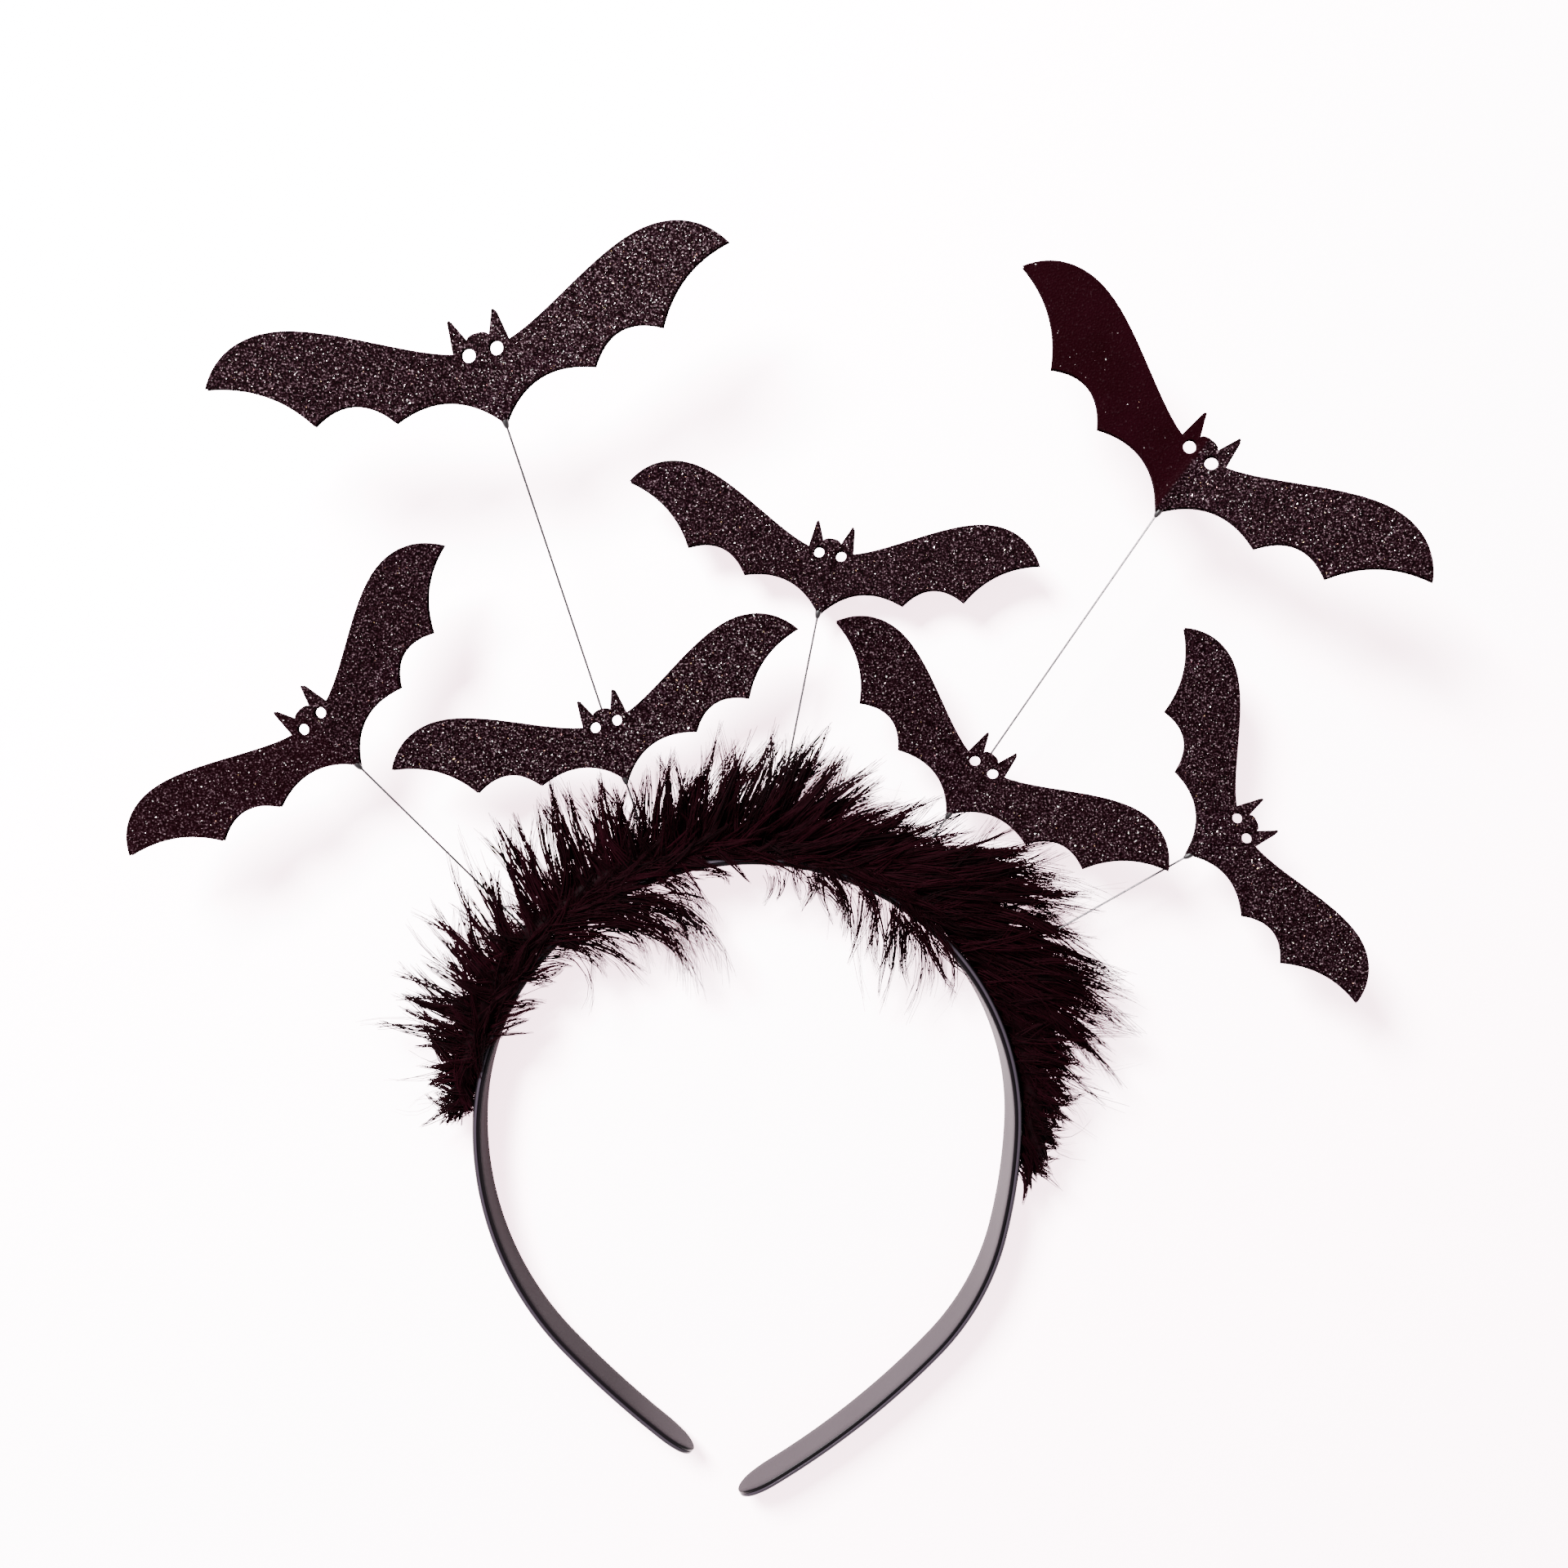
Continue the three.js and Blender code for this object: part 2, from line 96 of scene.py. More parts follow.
def object_from(name, points, faces):
    """A new object whose mesh has these points, in metres, and these faces."""
    mesh = bpy.data.meshes.new(name)
    mesh.from_pydata([tuple(point) for point in points], [], faces)
    mesh.update()
    return link(bpy.data.objects.new(name, mesh))


def mark(mesh, name, kind, domain, values):
    """Stores a value for each point or face of a mesh under a name."""
    field = "vector" if kind == "FLOAT_VECTOR" else "value"
    mesh.attributes.new(name, kind, domain).data.foreach_set(field, values)


half = FLOOR_SIZE / 2
corners = [(-half, -half, 0), (half, -half, 0), (half, half, 0), (-half, half, 0)]
floor = object_from("paper", corners, [(0, 1, 2, 3)])

key_data = bpy.data.lights.new("key", "AREA")
key_data.size = KEY_SIZE
key_data.energy = KEY_POWER
key = link(bpy.data.objects.new("key", key_data))
key.location = KEY_PLACE
key.rotation_euler = (-KEY_PLACE).to_track_quat("-Z", "Y").to_euler()

world = bpy.data.worlds.new("surrounding")
bpy.context.scene.world = world
world.use_nodes = True
background = world.node_tree.nodes["Background"]
background.inputs["Color"].default_value = FILL_COLOUR
background.inputs["Strength"].default_value = FILL_STRENGTH
print("key light from", [round(c, 2) for c in KEY_PLACE])

# %% [markdown]
# ## Writing node trees as sums
# Materials and Geometry Nodes are both trees of nodes. A small class wraps a number socket, so that an
# ordinary sum in Python adds the Math nodes for it. One method adds every other kind of node: its
# settings go in first, because they decide which sockets it has.

# %% sockets and nodes
class Number:
    """A number on its way through a tree."""

    def __init__(self, tree, socket):
        self.tree = tree
        self.socket = socket

    def math(self, operation, *others):
        return self.tree.node("ShaderNodeMath", {"operation": operation}, [self, *others])

    def __add__(self, other):
        return self.math("ADD", other)

    def __sub__(self, other):
        return self.math("SUBTRACT", other)

    def __mul__(self, other):
        return self.math("MULTIPLY", other)

    def __rsub__(self, other):
        return self.tree.node("ShaderNodeMath", {"operation": "SUBTRACT"}, [other, self])

    __radd__ = __add__
    __rmul__ = __mul__

    def above(self, edge):
        return self.math("GREATER_THAN", edge)

    def to(self, power):
        return self.math("POWER", power)


class Tree:
    """A node tree, for a material or for Geometry Nodes."""

    def __init__(self, nodes):
        self.nodes = nodes

    def node(self, kind, settings=None, sockets=None, output=0):
        """Adds a node. sockets is a list in order, or a dictionary by name, of values and links."""
        made = self.nodes.nodes.new(kind)
        for name, value in (settings or {}).items():
            if name == "stops":
                ramp = made.color_ramp
                for place, _ in value[len(ramp.elements):]:
                    ramp.elements.new(place)
                for element, (place, colour) in zip(ramp.elements, value):
                    element.position = place
                    element.color = colour
            else:
                setattr(made, name, value)
        entries = sockets.items() if isinstance(sockets, dict) else enumerate(sockets or [])
        for label, value in entries:
            if isinstance(label, int):
                socket = made.inputs[label]
            else:
                socket = next(s for s in made.inputs if s.name == label and s.enabled)
            if isinstance(value, Number):
                self.nodes.links.new(value.socket, socket)
            elif value is not None:
                socket.default_value = value
        if isinstance(output, str):
            found = next(s for s in made.outputs if s.name == output and s.enabled)
        else:
            found = [s for s in made.outputs if s.enabled][output]
        return Number(self, found)

    def scaled(self, vector, number):
        sockets = {"Vector": vector, "Scale": number}
        return self.node("ShaderNodeVectorMath", {"operation": "SCALE"}, sockets)


def new_material(name, paint):
    """A material whose paint(tree) returns the values and links of the Principled shader's sockets."""
    material = bpy.data.materials.new(name)
    material.use_nodes = True
    tree = Tree(material.node_tree)
    shader = material.node_tree.nodes["Principled BSDF"]
    for socket, value in paint(tree).items():
        if isinstance(value, Number):
            material.node_tree.links.new(value.socket, shader.inputs[socket])
        else:
            shader.inputs[socket].default_value = value
    return material


def places(tree):
    """Where a point is on the piece, in metres."""
    return tree.node("ShaderNodeTexCoord", output="Object")


def noise(tree, scale, detail=2.0):
    """Noise from 0 to 1 with about scale patches to a metre."""
    values = {"Vector": places(tree), "Scale": scale, "Detail": detail, "Roughness": 0.5}
    return tree.node("ShaderNodeTexNoise", None, values)


def marked(tree, name):
    """The number that a mesh carries under a name."""
    return tree.node("ShaderNodeAttribute", {"attribute_name": name}, output="Fac")


def blend_of(tree, share, first, second):
    """A colour between two, by share."""
    settings = {"data_type": "RGBA"}
    return tree.node("ShaderNodeMix", settings, {"Factor": share, "A": first, "B": second}, output="Result")


def bump(tree, height, strength, distance):
    return tree.node("ShaderNodeBump", None, {"Strength": strength, "Distance": distance, "Height": height})


print("helpers ready")

# %% [markdown]
# ## Finishes
# Each finish follows what it is on the real thing, but for painted light on the band. The paper has a
# very faint tooth. The band is one moulding with a satin inner face, a bead along its edges and a glossy
# outer face, told apart by attributes of its mesh. The left arm's inner face is painted darker, as
# painted shade, and made rougher; the bead is painted paler, as a painted highlight. The card is almost
# black with a plum cast, and its grain is the fine glitter between the flakes that can be told apart.

# %% paper and plastic
def paint_paper(tree):
    tooth = noise(tree, 900, 3.0)
    cloud = noise(tree, 9)
    return {
        "Base Color": blend_of(tree, cloud, (0.90, 0.82, 0.845, 1), (0.93, 0.85, 0.875, 1)),
        "Roughness": 0.9,
        "Specular IOR Level": 0.1,
        "Emission Color": (1.0, 0.62, 0.73, 1),
        "Emission Strength": PAPER_GLOW,
        "Normal": bump(tree, tooth, 0.12, 0.0004),
    }


def paint_plastic(tree):
    inner, bead, dull = [marked(tree, name) for name in ("inner", "bead", "dull")]
    grain = noise(tree, 2600, 3.0)
    haze = noise(tree, 60)
    faces = blend_of(tree, inner, (0.0010, 0.0006, 0.0009, 1), (0.0065, 0.0048, 0.0060, 1))
    # Painted shade: the left arm's inner face is painted darker, fading in from the crown, and made
    # rougher.
    faces = blend_of(tree, dull, faces, (0.0026, 0.0014, 0.0020, 1))
    return {
        # Painted highlight: the bead along the edges is painted paler than the outer face.
        "Base Color": blend_of(tree, bead, faces, (0.012, 0.009, 0.0125, 1)),
        "Roughness": 0.18 + 0.42 * inner + 0.35 * dull + 0.08 * haze,
        "Specular IOR Level": 0.07,
        "Normal": bump(tree, grain, 0.10, 0.0002),
    }


paper = new_material("pale_paper", paint_paper)
plastic = new_material("black_plastic", paint_plastic)
floor.data.materials.append(paper)
print("paper and plastic ready")

# %% steel, feather, glue and card
def paint_steel(tree):
    draw_marks = noise(tree, 1800)
    return {
        "Base Color": blend_of(tree, draw_marks, (0.018, 0.017, 0.018, 1), (0.07, 0.066, 0.07, 1)),
        "Metallic": 1.0,
        "Roughness": 0.18 + 0.2 * draw_marks,
    }


def paint_feather(tree):
    shade = marked(tree, "shade")
    return {
        "Base Color": blend_of(tree, shade, (0.0005, 0.00002, 0.0001, 1), (0.0036, 0.0002, 0.0008, 1)),
        "Roughness": 0.6 + 0.3 * shade,
        "Specular IOR Level": 0.012,
    }


def paint_glue(tree):
    cloud = noise(tree, 500)
    return {
        "Base Color": blend_of(tree, cloud, (0.001, 0.0007, 0.001, 1), (0.003, 0.002, 0.0025, 1)),
        "Roughness": 0.35 + 0.2 * cloud,
        "Specular IOR Level": 0.2,
    }


GRAIN_STOPS = [
    (0.38, (0.0004, 0.00002, 0.0001, 1)),
    (0.50, (0.0014, 0.00015, 0.0004, 1)),
    (0.59, (0.0034, 0.0011, 0.0018, 1)),
    (0.67, (0.011, 0.006, 0.0078, 1)),
    (0.75, (0.044, 0.030, 0.034, 1)),
]
USUAL_GLITTER = 0.3
GLITTER_LIFT = 0.025
FULL_GRAIN_FROM = 1 / 3


def paint_card(tree):
    amount = marked(tree, "glitter")
    grain = noise(tree, 2400, 1.0)
    cloud = noise(tree, 120, 3.0)
    dark = blend_of(tree, cloud, (0.0016, 0.00003, 0.0002, 1), (0.0029, 0.0001, 0.0006, 1))
    height = grain + GLITTER_LIFT * (amount - USUAL_GLITTER)
    fine = tree.node("ShaderNodeValToRGB", {"stops": GRAIN_STOPS}, {"Fac": height}, output="Color")
    return {
        "Base Color": blend_of(tree, (amount * (1 / FULL_GRAIN_FROM)).math("MINIMUM", 1.0), dark, fine),
        "Roughness": 0.45 + 0.3 * cloud,
        "Specular IOR Level": 0.005,
        "Normal": bump(tree, grain, 0.6, 0.0003),
    }


FLAKE_STOPS = [
    (0.00, (0.015, 0.006, 0.009, 1)),
    (0.35, (0.035, 0.020, 0.024, 1)),
    (0.62, (0.11, 0.085, 0.085, 1)),
    (0.80, (0.30, 0.27, 0.27, 1)),
    (0.91, (0.62, 0.59, 0.58, 1)),
    (0.93, (0.30, 0.10, 0.14, 1)),
    (0.96, (0.34, 0.22, 0.08, 1)),
    (0.99, (0.70, 0.67, 0.66, 1)),
]


def paint_flake(tree):
    tint = marked(tree, "tint")
    ramp = tree.node("ShaderNodeValToRGB", {"stops": FLAKE_STOPS}, {"Fac": tint}, output="Color")
    return {"Base Color": ramp, "Metallic": 0.6, "Roughness": 0.30}


steel = new_material("drawn_steel", paint_steel)
feather = new_material("marabou", paint_feather)
glue = new_material("black_glue", paint_glue)
card = new_material("black_card", paint_card)
flake = new_material("glitter_flake", paint_flake)
print("finishes:", [m.name for m in (paper, plastic, steel, feather, glue, card, flake)])

# %% [markdown]
# ## The band's path
# The band is a flat strip bent into a head's shape: a half circle over the crown, then arms that close
# in towards their tips. It is a chain of arcs, so any point on it is found by walking along the arcs
# from the crown. Everything that sits on the band asks this one function for its place.

# %% the path
BAND_HALF_WIDTH = 62.5
BAND_THICKNESS = 2.2
BAND_BREADTH = 12
TIP_BREADTH = 9.5
BAND_LENGTH = 410.5
LEFT_ARM = 0.479 * BAND_LENGTH
RIGHT_ARM = BAND_LENGTH - LEFT_ARM
TIP_ROUNDING = 9
TRIM_LEFT = 96
TRIM_RIGHT = 108

RIGHT_BENDS = [(1, 90), (2, 11.6), (0.95, 30.7), (3, 90)]
LEFT_BENDS = [(1, 90), (1.22, 44), (4, 90)]


def band_at(distance):
    """Place, outward and onward way of the band's middle line, at mm from the crown, minus to the left."""
    side = -1 if distance < 0 else 1
    left = abs(distance)
    x = y = heading = 0.0
    for share, degrees in LEFT_BENDS if distance < 0 else RIGHT_BENDS:
        radius = share * BAND_HALF_WIDTH
        angle = min(math.radians(degrees), left / radius)
        x += radius * (math.sin(heading + angle) - math.sin(heading))
        y -= radius * (math.cos(heading) - math.cos(heading + angle))
        heading += angle
        left -= angle * radius
    place = Vector((side * x, y, 0))
    out = Vector((side * math.sin(heading), math.cos(heading), 0))
    on = Vector((math.cos(heading), -side * math.sin(heading), 0))
    return place, out, on


def trim_at(share):
    """The same for a share of the trim's length on its side."""
    return band_at(share * (TRIM_LEFT if share < 0 else TRIM_RIGHT))


print("tips at", [[round(c, 1) for c in band_at(d)[0]] for d in (-LEFT_ARM, RIGHT_ARM)])

# %% [markdown]
# ## The band
# The CAD solid has a ten-sided section and a step of 6 mm, which would show as facets on a glossy edge.
# This sweep has the same size with a finer section: a flat inner face, a shallow groove and a bead on
# both edges, and a rounded outer face. The tips close like a tongue. Each point carries the numbers
# that the plastic reads: whether it is on the inner face or on a bead, which is painted paler as a
# painted highlight, and how much painted shade and roughness the left arm's inner face takes.

# %% band section and sweep
# One half of the section, from the middle of the inner face over the edge to the middle of the outer
# one: out is a share of the thickness, up a share of the breadth from the middle.
HALF_SECTION = [
    (-0.50, 0.0), (-0.50, 0.30), (-0.50, 0.455), (-0.47, 0.482), (-0.41, 0.494), (-0.30, 0.497),
    (-0.20, 0.497), (-0.16, 0.490), (-0.145, 0.478), (-0.10, 0.476), (-0.06, 0.480), (-0.04, 0.492),
    (0.00, 0.4995), (0.14, 0.500), (0.28, 0.487), (0.40, 0.452), (0.47, 0.38), (0.495, 0.28), (0.50, 0.14),
]
SECTION = HALF_SECTION + [(0.50, 0.0)] + [(out, -up) for out, up in reversed(HALF_SECTION[1:])]
INNER_LIMIT = -0.45
# The bead points, painted paler as a painted highlight: the range across the section, and the least share
# up.
BEAD_HIGHLIGHT = (-0.05, 0.2)
BEAD_HIGHLIGHT_FROM = 0.48
# Over this many mm from the crown, the painted shade on the left arm's inner face fades in.
LEFT_SHADE_FROM = 30
SWEEP_STEP = 1.0
TIP_RINGS = 14
SHARP_FROM = math.radians(38)


def breadth_at(distance):
    arm = LEFT_ARM if distance < 0 else RIGHT_ARM
    taper = max(0.0, abs(distance) / arm - 0.5) / 0.5
    return BAND_BREADTH + (TIP_BREADTH - BAND_BREADTH) * taper


def band_stations():
    """Distances along the band, each with the share of the breadth that is left there."""
    rounding = [math.radians(4 + 86 * k / TIP_RINGS) for k in range(TIP_RINGS)]
    insets = [(TIP_ROUNDING * (1 - math.cos(a)), math.sin(a)) for a in rounding]
    start = TIP_ROUNDING - LEFT_ARM
    end = RIGHT_ARM - TIP_ROUNDING
    count = round((end - start) / SWEEP_STEP)
    left = [(inset - LEFT_ARM, share) for inset, share in insets]
    middle = [(start + (end - start) * k / count, 1.0) for k in range(count + 1)]
    right = [(RIGHT_ARM - inset, share) for inset, share in reversed(insets)]
    return left + middle + right


def turns(sides):
    """Angles at even steps round a circle."""
    return [2 * math.pi * k / sides for k in range(sides)]


def tube_faces(rings, sides):
    """The faces of a closed tube whose points come ring by ring."""
    faces = []
    for ring in range(rings - 1):
        for side in range(sides):
            a = ring * sides + side
            b = ring * sides + (side + 1) % sides
            faces.append((a, b, b + sides, a + sides))
    faces.append(tuple(reversed(range(sides))))
    faces.append(tuple(range((rings - 1) * sides, rings * sides)))
    return faces


def make_band():
    points = []
    for distance, share in band_stations():
        place, out, _ = band_at(distance)
        breadth = breadth_at(distance) * share
        thin = 0.55 + 0.45 * min(1.0, share * 1.4)
        for outwards, up in SECTION:
            spot = place + out * (outwards * BAND_THICKNESS * thin)
            spot.z = BAND_BREADTH / 2 + up * breadth
            points.append(spot * MM)
    sides = len(SECTION)
    rings = len(points) // sides
    band = object_from("band", points, tube_faces(rings, sides))
    inner = [1.0 if out < INNER_LIMIT else 0.0 for out, _ in SECTION] * rings
    # The bead is painted paler, as a painted highlight.
    bead = [1.0 if BEAD_HIGHLIGHT[0] < out < BEAD_HIGHLIGHT[1] and abs(up) > BEAD_HIGHLIGHT_FROM else 0.0 for out, up in SECTION] * rings
    # Painted shade: how much darker the inner face is painted, growing along the left arm.
    leftness = [min(1.0, max(0.0, -point.x / MM / LEFT_SHADE_FROM)) for point in points]
    mark(band.data, "inner", "FLOAT", "POINT", inner)
    mark(band.data, "bead", "FLOAT", "POINT", bead)
    mark(band.data, "dull", "FLOAT", "POINT", [share * left for share, left in zip(inner, leftness)])
    return band


def outwards_facing(thing):
    """Recalculates the faces' directions, and shades the piece smooth but for sharp edges."""
    mesh = bmesh.new()
    mesh.from_mesh(thing.data)
    bmesh.ops.recalc_face_normals(mesh, faces=mesh.faces)
    mesh.to_mesh(thing.data)
    mesh.free()
    thing.data.shade_smooth()
    thing.data.set_sharp_from_angle(angle=SHARP_FROM)


band = make_band()
outwards_facing(band)
band.data.materials.append(plastic)
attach(band, "root")
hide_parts("headband")
print("band faces:", len(band.data.polygons))

# %% [markdown]
# ## The wires
# The wires are plain round steel, and the CAD rods already are that. They keep their shape and only
# take the steel finish.

# %% wires
WIRE_SEAT_HEIGHT = 6.5
WIRE_RADIUS = 0.25
WIRE_CLEARANCE = 0.3
LONG_REACH = 104
SHORT_REACH = 56

# Seat as a share of the trim, bearing and tilt in degrees, reach in mm.
WIRES = {
    "upper_left": (-0.245, 109, 11, LONG_REACH),
    "upper_right": (0.306, 59, 9.5, LONG_REACH),
    "left": (-0.568, 134.2, 10, SHORT_REACH),
    "top": (0.028, 80.7, 1.5, SHORT_REACH),
    "right": (0.56, 33, 7.5, SHORT_REACH),
}


def wire_frame(name, along):
    """A frame on a wire at a share of its reach, in mm: Y along the wire and Z to the upper side."""
    seat, bearing, tilt, reach = WIRES[name]
    place, out, _ = trim_at(seat)
    start = place + out * (BAND_THICKNESS / 2 + WIRE_CLEARANCE + WIRE_RADIUS)
    start.z = WIRE_SEAT_HEIGHT
    bearing, tilt = math.radians(bearing), math.radians(tilt)
    level = math.cos(tilt)
    way = Vector((level * math.cos(bearing), level * math.sin(bearing), math.sin(tilt)))
    across = way.cross(Vector((0, 0, 1))).normalized()
    upper = across.cross(way)
    turned = Matrix((across, way, upper)).transposed().to_4x4()
    return Matrix.Translation(start + way * (along * reach)) @ turned


for name in WIRES:
    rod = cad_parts[f"wire_{name}"]
    rod.data.materials.clear()
    rod.data.materials.append(steel)
print("wires finished:", len(WIRES))

# %% [markdown]
# ## The shape of a bat
# A bat is two cards of the same outline, glued back to back over the wire. Half of the outline is a
# short list of points in shares of the half span and the height, as a maker's template would be, and
# the other half is its mirror image. A flat curve fills itself with faces and cuts the eye holes out,
# so it is the easiest way to a card with a clean edge.

# %% outline of a bat
SCALLOPS = [(0.389, 0.208, 0.076), (0.676, 0.334, 0.068), (1, 0.756, 0.046)]
UPPER_EDGE = [
    ((0.944, 0.917), (0.859, 1), (0.752, 1)),
    ((0.556, 1), (0.293, 0.628), (0.107, 0.538)),
]
EAR = [(0.0925, 0.735), (0.0905, 0.752), (0.086, 0.760), (0.081, 0.756), (0.0785, 0.742)]
EAR_INNER = (0.044, 0.602)
DOME = [(0.036, 0.622), (0.022, 0.632), (0.010, 0.635)]
HEAD_TOP = 0.635
EYE = (0.054, 0.509)
EYE_SIDES = 28
CURVE_STEPS = 16

SMALL_BAT = {"span": 94.3, "height": 27.2, "eye": 2.6}
LARGE_BAT = {"span": 110.6, "height": 29.8, "eye": 3.1}


def curved(*handles):
    """Places along a Bezier curve through these handles, without its start."""
    degree = len(handles) - 1
    spots = []
    for k in range(1, CURVE_STEPS + 1):
        t = k / CURVE_STEPS
        spot = Vector((0, 0))
        for n, handle in enumerate(handles):
            spot += handle * (math.comb(degree, n) * (1 - t) ** (degree - n) * t**n)
        spots.append(spot)
    return spots


def half_outline(size):
    """The right half of a bat's outline, in mm, from the tail round to the top of the head."""
    across = size["span"] / 2
    height = size["height"]

    def at(x, y):
        return Vector((x * across, y * height))

    line = [Vector((0, 0))]
    for x, y, depth in SCALLOPS:
        end = at(x, y)
        chord = end - line[-1]
        bow = Vector((-chord.y, chord.x)).normalized() * (2 * depth * across)
        line += curved(line[-1], line[-1] + chord / 2 + bow, end)
    for spots in UPPER_EDGE:
        line += curved(line[-1], *[at(*spot) for spot in spots])
    line += [at(*spot) for spot in EAR + [EAR_INNER] + DOME]
    return line


def full_outline(size):
    right = half_outline(size)
    left = [Vector((-spot.x, spot.y)) for spot in reversed(right[1:])]
    return right + [Vector((0, HEAD_TOP * size["height"]))] + left


print("points in a bat's outline:", len(full_outline(SMALL_BAT)))

# %% [markdown]
# ## Cutting and folding a card
# The filled curve has long thin faces that can't bend, so it is cut across at regular steps. Then the
# card is folded: the wings tilt at the spine as they do on the real bats, they curl up a little towards
# their tips, and the middle bulges over the wire. The second card lies a fraction of a millimetre off,
# which is what shows inside the eye holes of the real ones.

# %% cards
CARD_HALF_THICKNESS = 0.2
CARD_ROUNDING = 0.05
CARD_FROM_MIDDLE = 0.26
SPINE_BULGE = 0.4
SPINE_BULGE_WIDTH = 1.5
WING_CURL = 0.9
CUT_STEP = 3.0
SPINE_CUTS = [-2.0, -1.0, 1.0, 2.0]
CARD_SHIFT = Vector((0.28, -0.34))


def flat_card(size, shift):
    """A flat card in mm, with its eye holes, cut across at regular steps."""
    curve = bpy.data.curves.new("card_outline", "CURVE")
    curve.dimensions = "2D"
    curve.fill_mode = "BOTH"
    curve.extrude = CARD_HALF_THICKNESS - CARD_ROUNDING
    curve.bevel_depth = CARD_ROUNDING
    curve.bevel_resolution = 1
    eyes = []
    for side in (-1, 1):
        middle = Vector((side * EYE[0] * size["span"] / 2, EYE[1] * size["height"]))
        around = [Vector((math.cos(angle), math.sin(angle))) for angle in turns(EYE_SIDES)]
        eyes.append([middle + way * (size["eye"] / 2) for way in around])
    for loop in [full_outline(size), *eyes]:
        spline = curve.splines.new("POLY")
        spline.points.add(len(loop) - 1)
        for point, spot in zip(spline.points, loop):
            point.co = (spot.x + shift.x, spot.y + shift.y, 0, 1)
        spline.use_cyclic_u = True
    holder = link(bpy.data.objects.new("card_outline", curve))
    graph = bpy.context.evaluated_depsgraph_get()
    mesh = bpy.data.meshes.new_from_object(holder.evaluated_get(graph))
    bpy.data.objects.remove(holder)
    work = bmesh.new()
    work.from_mesh(mesh)
    bmesh.ops.remove_doubles(work, verts=work.verts, dist=0.001)
    reach = size["span"] / 2
    cuts = np.arange(-math.ceil(reach / CUT_STEP), math.ceil(reach / CUT_STEP) + 1) * CUT_STEP
    for x in sorted([*cuts, *SPINE_CUTS]):
        every = work.verts[:] + work.edges[:] + work.faces[:]
        bmesh.ops.bisect_plane(work, geom=every, dist=0.0001, plane_co=(x, 0, 0), plane_no=(1, 0, 0))
    bmesh.ops.triangulate(work, faces=[face for face in work.faces if len(face.verts) > 4])
    bmesh.ops.recalc_face_normals(work, faces=work.faces)
    work.to_mesh(mesh)
    work.free()
    return mesh


def fold(mesh, size, tilts, side):
    """Moves a flat card's points into its folded shape. side is 1 for the upper card, -1 for the lower."""
    half_span = size["span"] / 2
    head = HEAD_TOP * size["height"]
    for vertex in mesh.vertices:
        x, y, z = vertex.co
        z += side * CARD_FROM_MIDDLE
        held = max(0.0, min(1.0, y / 1.5, (head - y) / 2.5))
        z += side * SPINE_BULGE * held * math.exp(-((x / SPINE_BULGE_WIDTH) ** 2))
        z += WING_CURL * abs(x / half_span) ** 2.2
        angle = math.radians(tilts[1] if x > 0 else -tilts[0])
        level, rise = math.cos(angle), math.sin(angle)
        vertex.co = (x * level - z * rise, y, x * rise + z * level)


print("mm between the cuts across a card:", CUT_STEP)

# %% [markdown]
# ## Glitter
# Glitter is thousands of tiny foil flakes stuck on at slightly different angles. Geometry Nodes do this
# well: points are scattered over the outer side of the card, a small six-sided flake is put on each,
# tipped at random, and its tint is stored for the material. The cut edge stays bare, so points close to
# the rim are taken away. An attribute of the card thins them out, by an amount given for each wing.

# %% the glitter tree
def new_tree(name, inputs):
    """A Geometry Nodes tree with a geometry and these number inputs, and a way to reach them."""
    group = bpy.data.node_groups.new(name, "GeometryNodeTree")
    face = group.interface
    face.new_socket("Geometry", in_out="INPUT", socket_type="NodeSocketGeometry")
    for label, (kind, value) in inputs.items():
        face.new_socket(label, in_out="INPUT", socket_type=kind).default_value = value
    face.new_socket("Geometry", in_out="OUTPUT", socket_type="NodeSocketGeometry")
    tree = Tree(group)
    source = group.nodes.new("NodeGroupInput")
    tree.given = {socket.name: Number(tree, socket) for socket in source.outputs if socket.name}
    return tree


def finish_tree(tree, geometry, material):
    """Ends a tree in Realize Instances and Set Material."""
    real = tree.node("GeometryNodeRealizeInstances", None, {"Geometry": geometry})
    dressed = tree.node("GeometryNodeSetMaterial", None, {"Geometry": real, "Material": material})
    end = tree.nodes.nodes.new("NodeGroupOutput")
    tree.nodes.links.new(dressed.socket, end.inputs[0])
    return tree.nodes


def attribute(tree, name, kind="FLOAT"):
    settings = {"data_type": kind}
    return tree.node("GeometryNodeInputNamedAttribute", settings, {"Name": name}, output="Attribute")


def random_number(tree, low, high, seed):
    sockets = {"Min": low, "Max": high, "Seed": seed}
    return tree.node("FunctionNodeRandomValue", {"data_type": "FLOAT"}, sockets, output="Value")


